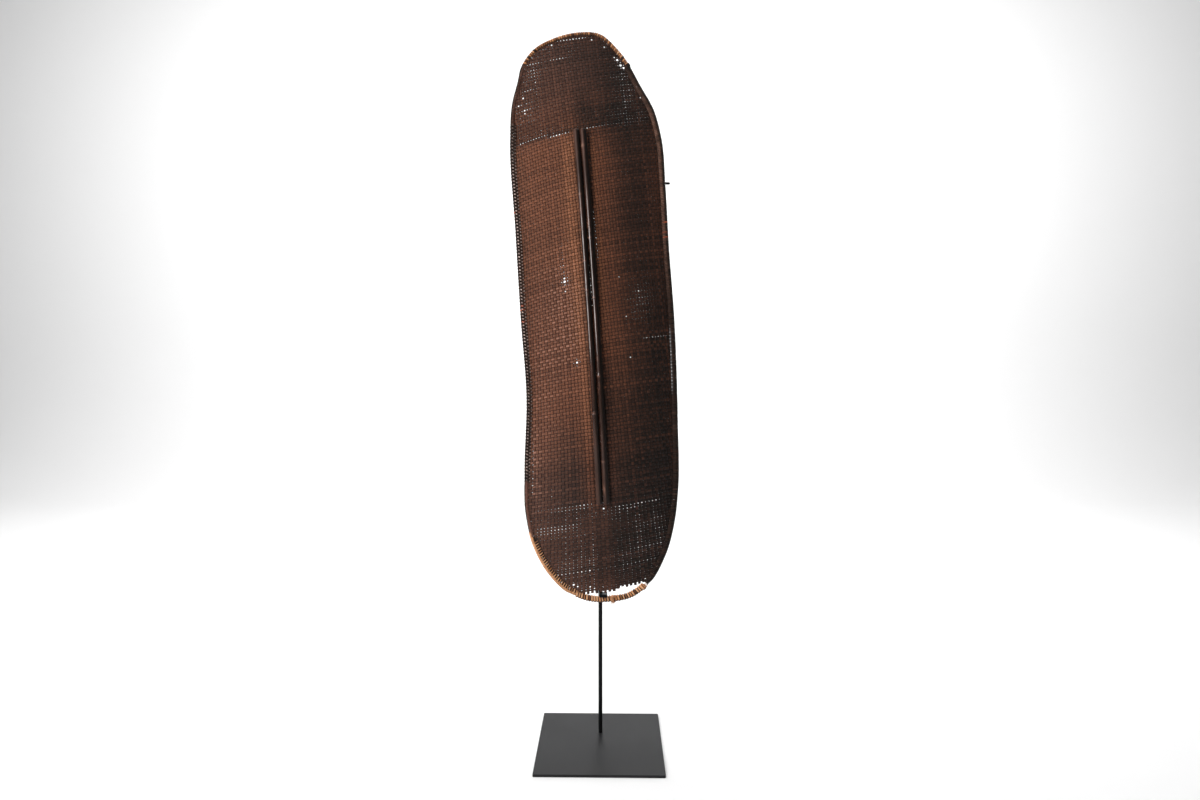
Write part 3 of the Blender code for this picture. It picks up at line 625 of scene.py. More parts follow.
def grime(across, along):
    """How dark the patina is made, with painted shade in it: darker to the right, partly a sooty
    patina and partly painted shade on the side turned away from the light, and low down there; darker
    above the upper seam; painted shadows in the corners beside the canes; painted contact shade
    beside the stitches; darker in the sooty fields. Less where the lighter fields say."""
    # Darker to the right: partly a sooty patina, partly painted shade on the side turned away from
    # the light.
    right = 0.62 * ease(across, 0.022, 0.10) + 0.16 * ease(across, 0.09, 0.17)
    low = 0.50 * ease(-along, 0.02, 0.25) + 0.12 * ease(-along, 0.30, 0.42)
    low = low * ease(across, 0.0, 0.03)
    seam = SEAM_HEIGHT + SEAM_SLOPE * across
    over = 0.16 * ease(along, seam - 0.004, seam + 0.004)
    over = over + (0.25 + 0.30 * ease(-across, 0.0, 0.03)) * bump(along, seam + 0.001, 0.0055)
    # Painted shadows of the face canes on the sheet beside them, deeper right of the right cane.
    corner = 0.97 * bump(across, CANE_SIDE, 0.0034) + 0.42 * bump(across, -CANE_SIDE, 0.0030)
    corner = corner * window(along, -0.44, 0.44, 0.03)
    # Painted contact shade along the lower left edge of the sheet, beside the stitches.
    from_edge = across + shield.half_widths(shield.tucked, along)[1]
    edge = 0.90 * window(along, -0.66, -0.515, 0.02) * (1.0 - ease(from_edge, 0.008, 0.013))
    clean = (1.0 - right) * (1.0 - low) * (1.0 - over) * (1.0 - corner) * (1.0 - edge)
    dark = 1.0 - clean * (1.0 - np.clip(fields(SOOTY, across, along), 0.0, 0.9))
    return np.clip(dark * (1.0 - fields(LIGHTER, across, along)), 0.0, 0.97)


def warmth(across, along):
    """How orange the brown is: beside the canes and in the middle, and mauve at head and foot."""
    middle = 0.42 * window(along, -0.32, 0.50, 0.24) * (1.0 - 0.5 * ease(across, 0.05, 0.12))
    left = bump(across, -0.022, 0.022) * (0.32 * window(along, -0.44, 0.46, 0.08)
                                          + 0.40 * window(along, -0.04, 0.40, 0.16))
    right = 0.30 * bump(across, 0.024, 0.012) * window(along, -0.05, 0.44, 0.10)
    upper = 0.12 * window(along, 0.12, 0.46, 0.12) * ease(-across, 0.0, 0.03)
    return np.clip(middle + left + right + upper, 0.0, 1.0)


def rubbed(across, along):
    """How worn the strips are, partly wear and partly a painted highlight on the crests: a little on
    all the left, and more where the fields say.
    """
    return np.clip(fields(RUBBED, across, along) + 0.10 * window(across, -0.2, 0.0, 0.04), 0.0, 1.0)


def frayed(across, along):
    """1 at the torn edge, where no wefts hold the warps together, easing to 0 above it."""
    return 1.0 - ease(along - shield.tear(across), *FRAYED_RUN)


def meet(way, room, rank, outer, inner):
    """Where the way crosses the edge, between a sample outside and the next inside."""
    a, b = room[rank, outer], room[rank, inner]
    share = np.where(b > a, -a / np.where(b > a, b - a, 1.0), 0.0)
    return way[rank, outer] + np.clip(share, 0.0, 1.0) * (way[rank, inner] - way[rank, outer])


def weave(sizes, lines, along_rows, chance):
    """Strips that follow rows or columns, and pass over and under those of the other kind.

    Height of a strip's middle = wave * cos(pi * column) * cos(pi * row), with the other sign for
    columns. Each side of a strip stands half a gap back from the line between it and the next.
    """
    pitch = sizes.column_pitch
    start, end = np.floor(ROW_COUNT[0]) + 1, np.ceil(ROW_COUNT[-1]) - 1
    if along_rows:
        start, end = -sizes.columns - 1, sizes.columns + 1
    other = (np.arange(start, end)[:, None] + np.array(CELL_SAMPLES)).ravel()
    line, way = np.broadcast_arrays(lines[:, None], other[None, :])

    def ordered(line, way):
        """Column and row of a place on a strip."""
        return (way, line) if along_rows else (line, way)

    def place(line, way):
        """Across and along of a place on a strip."""
        return crossing(*ordered(line, way), pitch)

    def half_share(half, u, v):
        """Share of the pitch that a strip keeps on one side of its line."""
        back = gap + daylight(*ordered(line + half, way), u, v, pitch)
        return np.clip(0.5 - back / (2 * spacing), NARROWEST, 0.5)[..., None]

    ragged = WEFT_STUB if along_rows else chance.uniform(*WARP_STUBS, (len(lines), 1))
    room = shield.room_inside(*place(line, way), ragged)
    some = (room > 0).any(axis=1)
    line, way, room = line[some], way[some], room[some]
    inside = room > 0
    rank = np.arange(len(line))
    first, last = inside.argmax(axis=1), inside.shape[1] - 1 - inside[:, ::-1].argmax(axis=1)
    start = meet(way, room, rank, np.maximum(first - 1, 0), first)
    end = meet(way, room, rank, np.minimum(last + 1, inside.shape[1] - 1), last)
    way = np.clip(way, start[:, None], end[:, None])
    alive = np.diff(way, axis=1) > 1e-6

    (u0, v0), (u1, v1) = place(line - 0.5, way), place(line + 0.5, way)
    spacing = np.hypot(u1 - u0, v1 - v0)
    gap = 0.0 if along_rows else sizes.gap + FRAYED_GAP * frayed((u0 + u1) / 2, (v0 + v1) / 2)
    low, high = half_share(-0.5, u0, v0), half_share(0.5, u1, v1)
    reach = np.where(WOVEN_ACROSS < 0, low, high) * WOVEN_ACROSS
    over = (1.0 if along_rows else -1.0) * (np.cos(pi * line) * np.cos(pi * way))[..., None]
    height = sizes.lift + sizes.wave * over + WOVEN_LIFT * sizes.strip / 2
    u, v = place(line[..., None] + reach, np.repeat(way[..., None], len(WOVEN_ACROSS), axis=-1))
    tone = chance.normal(0.0, 1.0, (len(line), 1)) + 0.7 * chance.normal(0.0, 1.0, line.shape)
    return made(shield.on_sheet(u, v, height), strand_faces(*u.shape, alive, along_rows),
                way[..., None] * pitch, line[..., None] * TEXTURE_STEP + reach * pitch,
                tone=np.clip(0.5 + 0.16 * tone, 0.0, 1.0)[..., None], crest=0.5 + 0.5 * over,
                side=WOVEN_ACROSS, grime=grime(u, v), warmth=warmth(u, v),
                rubbed=rubbed(u, v) * (1.0 if along_rows else 0.3))


class SHIELD_OT_weave(bpy.types.Operator):
    """Weave the sheet from warps and wefts"""

    bl_idname = "shield.weave"
    bl_label = "Weave the sheet"

    def execute(self, context):
        sizes = context.scene.shield_weave
        chance = np.random.default_rng(sizes.seed)
        half = np.arange(0, sizes.columns + 1)
        rows = np.arange(np.floor(ROW_COUNT[0]) + 2, np.ceil(ROW_COUNT[-1]) - 2)
        finish = woven_finish(context.scene.shield_colours)
        for name, lines, along_rows in (
                ("warps_left", -half[:0:-1], False), ("warps_right", half, False),
                ("wefts_low", rows[rows < 0], True), ("wefts_high", rows[rows >= 0], True)):
            piece = mesh_piece(name, *weave(sizes, lines.astype(float), along_rows, chance))
            dress(piece, finish, "woven_cane", *PANELS)
        return {"FINISHED"}


# Bindings

# Cross-section of a wound strip: shares of its width and of its thickness
STRIP_ACROSS = np.array([-0.5, -0.36, 0.0, 0.36, 0.5])
STRIP_LIFT = np.array([0.0, 0.8, 1.0, 0.8, 0.0])
# Red flecks: reach, and shares of the way round
FLECK_REACH = 0.0013
LEFT_FLECKS = (0.8342, 0.7628, 0.7597, 0.7505)
RIGHT_FLECKS = (0.1714, 0.1796, 0.1832)
HEAD_FLECKS = (0.0466,)
# How bare the dark lashing is worn, on the right also painted light on its inner side: shares of the
# way round, and amounts
LEFT_WORN = ((0.600, 0.640, 0.660, 0.700, 0.745, 0.850, 0.875, 0.905),
             (0.45, 0.70, 0.60, 0.50, 1.00, 1.00, 0.60, 0.10))
RIGHT_WORN = ((0.05, 0.09, 0.17, 0.21, 0.245, 0.42), (0.20, 1.00, 1.00, 0.55, 0.12, 0.08))
RIGHT_GLINT = (0.254, 0.300)
# The left edge is plaited along its middle, and wound like the right one at both ends
PLAITED = (0.6265, 0.9010)
LEFT_ENDS = (((BARE_HOOP_END - 0.001, PLAITED[0] + 0.001), 2.0),
             ((PLAITED[1] - 0.001, 1.0 + HEAD_BINDING[0] + 0.001), 0.7))
KNOT = (HEAD_BINDING[1] - 0.0012, HEAD_BINDING[1] + 0.0012)
STITCHED = (BUNDLE[1], BARE_HOOP_END - 0.005)
LUMP, BREAK_LUMP = (0.4891, 0.4919), (0.4622, 0.4640)

# Windings: distance between turns, width and thickness of the strip, tones from turn to turn, how
# uneven they are
HEAD_TURNS = dict(pitch=0.0056, width=0.0048, tones=(0.54, 0.38, 0.60, 0.42), jitter=0.08)
RIGHT_TURNS = dict(pitch=0.0039, width=0.0036, tones=(0.16, 0.28, 0.20), jitter=0.10)
KNOT_TURNS = dict(pitch=0.0026, width=0.0030, strip=0.0012, tones=(0.2,))
END_TURNS = dict(pitch=0.0036, width=0.0034, tones=(0.22, 0.34, 0.28), jitter=0.08)
STITCHES = dict(pitch=0.0066, width=0.0027, strip=0.0013, tones=(0.95, 0.78, 0.90, 0.68),
                jitter=0.12, per_turn=20)
BUNDLE_TURNS = dict(pitch=0.0068, width=0.0050, strip=0.0018, jitter=0.14,
                    tones=(0.84, 0.56, 0.96, 0.70, 0.92, 0.44))
LUMP_TURNS = dict(pitch=0.0030, width=0.0034, strip=0.0014, tones=(0.92, 0.60, 0.80), jitter=0.15)
BREAK_TURNS = dict(pitch=0.0028, width=0.0030, strip=0.0012, tones=(0.90, 0.45), jitter=0.15)
# The plait: three strands each way, their height over each other, and where they start
PLAIT = dict(hands=(1, -1), strands=3, over=0.0006, per_turn=24, phase=radians(30.0),
             tones=(0.30, 0.46), jitter=0.06)

# Flat ovals of the right winding and the plait: half reach or way back, way proud, height, tilt
RIGHT_REACH, RIGHT_PROUD, RIGHT_HEIGHT, RIGHT_TILT = 0.0068, 0.0014, 0.0041, -radians(12.0)
BRAID_BACK, BRAID_PROUD, BRAID_HEIGHT, BRAID_TILT = 0.0004, 0.0019, 0.0042, -radians(13.0)
BUNDLE_CORE = BUNDLE_RADIUS - 0.0010

# Torn fibres: how many, place on the hoop, length, spread along it, out, proud, tone, way
FIBRES = (
    (26, BUNDLE[0] + 0.0006, 0.011, 0.0016, 0.0, 0.003, 0.75, (0.7, 0.3, 0.3)),
    (30, 0.4905, 0.013, 0.0020, 0.002, 0.006, 0.66, (0.0, 0.1, -1.0)),
    (14, 0.4905, 0.010, 0.0024, -0.004, 0.005, 0.75, (-0.2, 0.2, 1.0)),
)
FIBRE_RADIUS = 0.0007
# How far the fibres' starts stray out and proud, and how much their ways and bends do
FIBRE_STRAY = (0.0018, 0.0012)
FIBRE_WAYS, FIBRE_BENDS = 0.35, 0.30
# The hoop's cane: thinner under its lashing; where it is bare, thicker and further out, with the
# run to it; the run over which its ends taper; and its unevenness as height, waves and their start
HOOP_THINNED, BARE_SWELL, BARE_OUT, BARE_RUN = 0.0008, 0.0015, 0.0009, 0.004
HOOP_END_RUN, HOOP_END_GAP = 0.003, 0.0004
HOOP_WANDER = ((0.00012, 61.0, 0.0), (0.00010, 173.0, 1.0))
# Run along the hoop over which the painted glint on every other turn comes and goes
GLINT_RUN = 0.012


class Oval:
    """What a strip is wound round: middle out and proud of the hoop's, half reach and height, and
    tilt. It is round where no height is given."""

    def __init__(self, out, proud, reach, height=None, tilt=0.0):
        self.out, self.proud, self.reach, self.tilt = out, proud, reach, tilt
        self.height = reach if height is None else height

    def points(self, share, angle, lift):
        """Points on the oval at an angle, at a height over it, and the ways square to it."""
        turned = np.array([[cos(self.tilt), sin(self.tilt)], [-sin(self.tilt), cos(self.tilt)]])
        square = unit(stacked(self.height * np.cos(angle), self.reach * np.sin(angle)))
        flat = stacked(self.reach * np.cos(angle), self.height * np.sin(angle))
        flat = (flat + square * lift[..., None]) @ turned
        square = square @ turned
        centre = shield.round_hoop(share, self.out + flat[..., 0], self.proud + flat[..., 1])
        way = shield.outward(share)
        return centre, stacked(way[..., 0] * square[..., 0], square[..., 1],
                               way[..., 1] * square[..., 0])


STITCHED_OVAL = Oval(-0.0036, 0.0008, 0.0064, 0.0049, -radians(10.0))
KNOT_RING = Oval(0.0, 0.0, LASHED_RADIUS + 0.0006)
BUNDLE_RING = Oval(-0.0004, 0.0, BUNDLE_CORE)
LUMP_RING = Oval(0.0006, 0.0008, BUNDLE_CORE + 0.0010)


def wound(stretch, oval, pitch, width, strip, chance=None, hands=(1,), strands=1, over=0.0,
          per_turn=14, tones=(0.5,), jitter=0.0, phase=0.0, flecks=(), worn=((0.0,), (0.0,)),
          glint=None):
    """Strips wound round an oval along the hoop, and plaited where there are two hands.

    Turn t of a strand goes round by hand * 2 * pi * t while it goes along by t * strands * pitch.
    Its height is over * hand * cos(strands * angle), so strands of the two hands pass over and
    under each other in turn. How worn it is comes from shares and amounts. A glint is a painted
    highlight: a stretch where every other turn is painted pale on its inner side.
    """
    start, end = stretch
    pitch_of_turn = strands * pitch / shield.girth
    t = np.arange(-1.0 / per_turn, (end - start) / pitch_of_turn + 1.0 / per_turn, 1.0 / per_turn)
    hand = np.repeat(np.array(hands, float), strands)[:, None]
    strand = np.tile(np.arange(strands), len(hands))[:, None]
    angle = hand * 2 * pi * (t[None, :] - strand / strands) + phase
    share = np.clip(start + t[None, :] * pitch_of_turn, start, end) + 0.0 * angle
    lift = over * hand * np.cos(strands * (angle - phase))
    centre, normal = oval.points(share, angle, lift)
    beside = np.cross(unit(np.gradient(centre, axis=1)), normal)
    turn = np.floor(t[None, :] + strand / strands + strand).astype(int) + 1
    spread = tone = np.zeros(angle.shape)
    if chance is not None:
        spread = jitter * chance.normal(0.0, 1.0, turn.max() + 2)[turn]
        tone = 0.12 * chance.normal(0.0, 1.0, turn.max() + 2)[turn]
    tone = np.take(tones, np.mod(turn, len(tones))) + tone
    points = (centre[:, :, None] + beside[:, :, None] * STRIP_ACROSS[:, None] * width
              * (1.0 + spread[:, :, None, None])
              + normal[:, :, None] * STRIP_LIFT[:, None] * strip)
    steps = np.linalg.norm(np.diff(centre, axis=1, prepend=centre[:, :1]), axis=-1)
    inner = 0.5 - 0.5 * np.cos(angle)
    red = sum(bump(share, place, FLECK_REACH / shield.girth) for place in flecks)
    pale = 0.0
    if glint:
        pale = window(share, *glint, GLINT_RUN) * bump(inner, 0.92, 0.06)
        pale = pale * (0.35 + 0.65 * np.mod(turn, 2))
    # The value under marks faces that turn downwards, for painted shade.
    values = {"tone": np.clip(tone, 0, 1), "crest": 0.5 + 0.5 * lift / over if over else 1.0,
              "glint": pale, "fleck": red * (1.0 - 0.75 * inner), "inner": inner,
              "worn": np.interp(share, *worn), "under": np.clip(-normal[..., 2], 0.0, 1.0)}
    values = {key: np.broadcast_to(value, angle.shape)[..., None] for key, value in values.items()}
    return made(points, strand_faces(*points.shape[:3], turned=True),
                np.cumsum(steps, axis=1)[..., None], STRIP_ACROSS * width, side=2 * STRIP_ACROSS,
                **values)


def joined(parts):
    """Several made shapes as one: their points one after another, their faces counted on."""
    points, faces, values, uvs = zip(*parts)
    counts = [point.size // 3 for point in points]
    bases = np.cumsum([0, *counts])
    faces = [face + base for kind in zip(*faces) for face, base in zip(kind, bases)]
    values = {key: np.concatenate([value.get(key, np.zeros(count)).ravel()
                                   for value, count in zip(values, counts)])
              for key in sorted({key for value in values for key in value})}
    return (np.concatenate([point.reshape(-1, 3) for point in points]), faces, values,
            np.concatenate([uv.reshape(-1, 2) for uv in uvs]))


def hoop_tube(share, radius, out=0.0, tone=0.5, sides=16):
    """A round cane along the hoop: circles of the radius square to its line, with painted shade on
    its inner side and underside.
    """
    angle = np.linspace(0.0, 2 * pi, sides, endpoint=False)
    radius, out, tone = (np.broadcast_to(part, share.shape)[:, None] for part in (radius, out, tone))
    points = shield.round_hoop(np.repeat(share[:, None], sides, axis=1),
                               out + radius * np.cos(angle), radius * np.sin(angle))
    # Painted shade: the underside and the inner side of the cane are marked to be darkened.
    under = np.clip(-np.cos(angle) * shield.outward(share)[:, 1:], 0.0, 1.0)
    length = (share - share[0])[:, None] * shield.girth
    return made(points, strand_faces(1, len(share), sides), length, angle * HOOP_RADIUS, tone=tone,
                under=np.maximum(under, ease(-np.cos(angle), 0.45, 0.80)))


def splinters(count, share, length, spread, out, proud, tone, way, chance):
    """Torn fibres: each starts near a place on the hoop, bends away and tapers to a point.

    Point q of a fibre = start + way * length * q + bend * q squared, with a radius of (1 - q)
    to the power 0.7. The way is across, proud and along.
    """
    q = np.linspace(0.0, 1.0, 9)
    start = shield.round_hoop(share + chance.normal(0.0, spread, count) / shield.girth,
                              out + chance.normal(0.0, FIBRE_STRAY[0], count),
                              proud + chance.normal(0.0, FIBRE_STRAY[1], count))
    ways = unit(np.array(way) + chance.normal(0.0, FIBRE_WAYS, (count, 3)))
    reach = length * chance.uniform(0.45, 1.0, count)
    bend = chance.normal(0.0, FIBRE_BENDS, (count, 3)) * reach[:, None]
    centre = (start[:, None] + ways[:, None] * (reach[:, None] * q)[..., None]
              + bend[:, None] * (q**2)[:, None])
    tangent = unit(np.gradient(centre, axis=1))
    side = unit(np.cross(tangent, np.array([0.31, 0.83, 0.47])))
    top = np.cross(side, tangent)
    angle = np.linspace(0.0, 2 * pi, 5, endpoint=False)
    thick = FIBRE_RADIUS * chance.uniform(0.6, 1.3, count)[:, None, None, None] * (
        np.maximum(1.0 - q, 0.04) ** 0.7)[:, None, None]
    points = centre[:, :, None] + thick * (side[:, :, None] * np.cos(angle)[:, None]
                                           + top[:, :, None] * np.sin(angle)[:, None])
    return made(points, strand_faces(*points.shape[:3], turned=True), (reach[:, None] * q)[..., None],
                angle * FIBRE_RADIUS,
                tone=np.clip(tone + 0.15 * chance.normal(0.0, 1.0, (count, 1, 1)), 0, 1))


def tapered(share, run, least):
    """1 along a stretch of the hoop, easing to the least over a run at both ends."""
    from_end = np.minimum(share - share[0], share[-1] - share) * shield.girth
    return least + (1.0 - least) * ease(from_end, 0.0, run)


def stitched_hoop(chance):
    """The hoop's cane, bare and a little thicker at the lower left, with the stitches round it."""
    share = np.linspace(HOOP_BREAK[1] + HOOP_END_GAP, 1.0 + HOOP_BREAK[0], 1000)
    wander = sum(height * np.sin(share * waves + start) for height, waves, start in HOOP_WANDER)
    bare = window(share, BUNDLE[1], BARE_HOOP_END + BARE_RUN, BARE_RUN)
    radius = HOOP_RADIUS - HOOP_THINNED + BARE_SWELL * bare + wander
    radius = radius * tapered(share, HOOP_END_RUN, 0.55)
    # Where bindings cover it the hoop is painted near black, as shade in the gaps between turns;
    # where bare it is tan.
    return joined([hoop_tube(share, radius, BARE_OUT * bare, 0.05 + 0.76 * bare),
                   wound(STITCHED, STITCHED_OVAL, chance=chance, **STITCHES)])


def right_lashing(ring_radius, plain):
    """Flat winding of the right side, with the knot at the head binding's end."""
    band = Oval(ring_radius - RIGHT_REACH, RIGHT_PROUD, RIGHT_REACH, RIGHT_HEIGHT, RIGHT_TILT)
    return joined([
        wound((HEAD_BINDING[1], HOOP_BREAK[0]), band, flecks=RIGHT_FLECKS, worn=RIGHT_WORN,
              glint=RIGHT_GLINT, **RIGHT_TURNS, **plain),
        wound(KNOT, KNOT_RING, **KNOT_TURNS)])


def left_braid(ring_radius, sizes, chance):
    """Plait of the left side, over a flat oval as wide as the braid."""
    reach = sizes.reach / 2 - sizes.strip
    wide = Oval(ring_radius - reach - BRAID_BACK, BRAID_PROUD, reach, BRAID_HEIGHT, BRAID_TILT)
    return wound(PLAITED, wide, sizes.pitch, sizes.width, sizes.strip, chance, flecks=LEFT_FLECKS,
                 worn=LEFT_WORN, **PLAIT)


def foot_bundle(chance):
    """Thick core at the foot, wound over, with a lump at its middle and one at the break, and torn
    fibres."""
    share = np.linspace(BUNDLE[0], BUNDLE[1], 90)
    return joined([
        hoop_tube(share, BUNDLE_CORE * tapered(share, 0.004, 0.7), tone=0.10),
        wound(BUNDLE, BUNDLE_RING, chance=chance, **BUNDLE_TURNS),
        wound(LUMP, LUMP_RING, chance=chance, **LUMP_TURNS),
        wound(BREAK_LUMP, LUMP_RING, chance=chance, **BREAK_TURNS),
        *(splinters(*fibres, chance) for fibres in FIBRES)])


class SHIELD_OT_hoop(bpy.types.Operator):
    """Bend the cane hoop round the edge"""

    bl_idname = "shield.hoop"
    bl_label = "Bend the hoop"

    def execute(self, context):
        chance = np.random.default_rng(context.scene.shield_bindings.seed + 1)
        piece = mesh_piece("hoop", *stitched_hoop(chance))
        dress(piece, bare_cane_finish(context.scene.shield_colours), "worn_cane", "rim_hoop")
        return {"FINISHED"}


class SHIELD_OT_bindings(bpy.types.Operator):
    """Wind and plait the strips round the hoop"""

    bl_idname = "shield.bindings"
    bl_label = "Bind the hoop"

    def execute(self, context):
        sizes, colours = context.scene.shield_bindings, context.scene.shield_colours
        chance = np.random.default_rng(sizes.seed)
        ring = Oval(0.0, 0.0, LASHED_RADIUS - sizes.strip)
        plain = {"strip": sizes.strip, "chance": chance}
        tan = bare_cane_finish(colours)
        wound_dark, plaited_dark, worn_dark = (lashing_finish(colours, *look) for look in LASHINGS)
        head = wound(HEAD_BINDING, ring, flecks=HEAD_FLECKS, **HEAD_TURNS, **plain)
        right = right_lashing(ring.reach, plain)
        braid = left_braid(ring.reach, sizes, chance)
        ends = joined([wound(stretch, ring, worn=((0.0,), (amount,)), **END_TURNS, **plain)
                       for stretch, amount in LEFT_ENDS])
        for name, shape, finish, slot, node in (
                ("head_wrap", head, tan, "worn_cane", "head_binding"),
                ("right_lashing_strips", right, wound_dark, "dark_lashing", "right_lashing"),
                ("left_lashing_braid", braid, plaited_dark, "dark_lashing", "left_lashing"),
                ("left_lashing_ends", ends, worn_dark, "dark_lashing", "left_lashing"),
                ("foot_wrap", foot_bundle(chance), tan, "worn_cane", "foot_binding")):
            dress(mesh_piece(name, *shape), finish, slot, node)
        return {"FINISHED"}


# Face canes

# A node's swelling: share of the full one and reach; the groove under it: depth, distance, reach
NODE_SWELL, NODE_REACH = 0.8, 0.0045
GROOVE, GROOVE_BELOW, GROOVE_REACH = 0.03, 0.0035, 0.0016
# Reach of the rubbed ring at a node, and the run over which the canes' ends round off
RING_REACH, CANE_END_RUN = 0.0022, 0.0022
# Unevenness of the canes: share of the radius, and waves along them
CANE_WANDER, CANE_WAVES = 0.008, 37.0
# Glossy stretch of the canes, with its run
GLOSSY = (-0.30, 0.27, 0.16)


def cane_tube(side, nodes, sides=28, stations=420):
    """A stout cane on the ridge: circles along the bow, swollen at the nodes, eased at the ends.

    Its side that faces to the left and forwards, towards the light, keeps its colour and gloss, and
    the other flank gets painted shade.
    """
    along = np.linspace(-CANE_BELOW_MIDDLE, CANE_ABOVE_MIDDLE, stations)
    middle = (CANE_ABOVE_MIDDLE - CANE_BELOW_MIDDLE) / 2
    half = (CANE_ABOVE_MIDDLE + CANE_BELOW_MIDDLE) / 2
    bow = CANE_BOW * (1.0 - ((along - middle) / half) ** 2) - CANE_BOW / 2
    full = CANE_RADIUS * (1.0 + CANE_NODE_SWELL)
    heights = [node - CANE_BELOW_MIDDLE for node in nodes]
    swell = sum(NODE_SWELL * CANE_NODE_SWELL * bump(along, height, NODE_REACH)
                - GROOVE * bump(along, height - GROOVE_BELOW, GROOVE_REACH) for height in heights)
    radius = CANE_RADIUS * (1.0 + swell + CANE_WANDER * np.sin(along * CANE_WAVES + side))
    ends = np.minimum(along - along[0], along[-1] - along)
    radius = radius * (0.80 + 0.20 * np.sqrt(np.clip(ends / CANE_END_RUN, 0.0, 1.0)))
    step = 0.002
    foot, above = shield.rise(np.zeros(2), np.array([0.0, step]) - CANE_BELOW_MIDDLE)
    lift = (SHEET_THICKNESS / 2 + TOUCH + full) / cos(atan2(above - foot, step))
    angle = np.linspace(0.0, 2 * pi, sides, endpoint=False) + pi / 2
    across = (bow + side * (full + TOUCH / 2))[:, None] - radius[:, None] * np.cos(angle)
    proud = (shield.rise(bow, along) + lift)[:, None] - radius[:, None] * np.sin(angle)
    along = along[:, None]
    # The flank that faces left and forwards, towards the light, keeps its colour and gloss; the rest
    # gets painted shade.
    handled = ease(0.80 * np.cos(angle) - 0.60 * np.sin(angle), 0.30, 0.92)
    return made(stacked(across, proud, along), strand_faces(1, stations, sides, turned=True), along,
                angle * CANE_RADIUS, gloss=window(along, *GLOSSY) * handled, handled=handled,
                node=sum(bump(along, height, RING_REACH) for height in heights))


class SHIELD_OT_face_canes(bpy.types.Operator):
    """Lay the two stout canes down the face"""

    bl_idname = "shield.face_canes"
    bl_label = "Lay the face canes"

    def execute(self, context):
        finish = polished_finish(context.scene.shield_colours)
        for name, side, nodes in (("left_cane", -1.0, LEFT_CANE_NODES),
                                  ("right_cane", 1.0, RIGHT_CANE_NODES)):
            piece = mesh_piece(name, *cane_tube(side, nodes))
            dress(piece, finish, "polished_cane", name.replace("cane", "face_cane"))
        return {"FINISHED"}


# Finishes

# Near black of the painted shade in deep gaps, of the polish, and of the painted shade on the
# polished canes' flank away from the light
GAP_SHADE_COLOUR = (0.004, 0.003, 0.002)
POLISH = (0.006, 0.004, 0.003)
SHADED_FLANK = (0.004, 0.003, 0.0025)
# Tones of the bare cane and the dark lashing, their red flecks, the painted glint on the right
# lashing, and the coatings' second tones
GRIMY, LIGHT_TAN, FLECK_ON_TAN = (0.16, 0.060, 0.028), (0.95, 0.50, 0.26), (0.62, 0.10, 0.05)
DARK_STRIP, BROWN_STRIP = (0.040, 0.022, 0.016), (0.16, 0.095, 0.070)
FLECK_ON_DARK, GLINT = (0.70, 0.14, 0.06), (0.85, 0.85, 0.87)
PLATE_CLOUD, ROD_GRAIN = (0.021, 0.021, 0.022), (0.007, 0.007, 0.0075)
# Dark lashings: name, the value that bares them and its range, and the bared colour. On the wound
# lashing the bared inner side is partly wear and partly painted light, as that side faces the light
LASHINGS = (
    ("Wound lashing", "inner", 0.42, 0.70, (0.200, 0.105, 0.075)),
    ("Plaited lashing", "crest", 0.82, 0.94, (0.66, 0.50, 0.44)),
    ("Worn lashing", "inner", 0.28, 0.52, (0.240, 0.115, 0.085)),
)


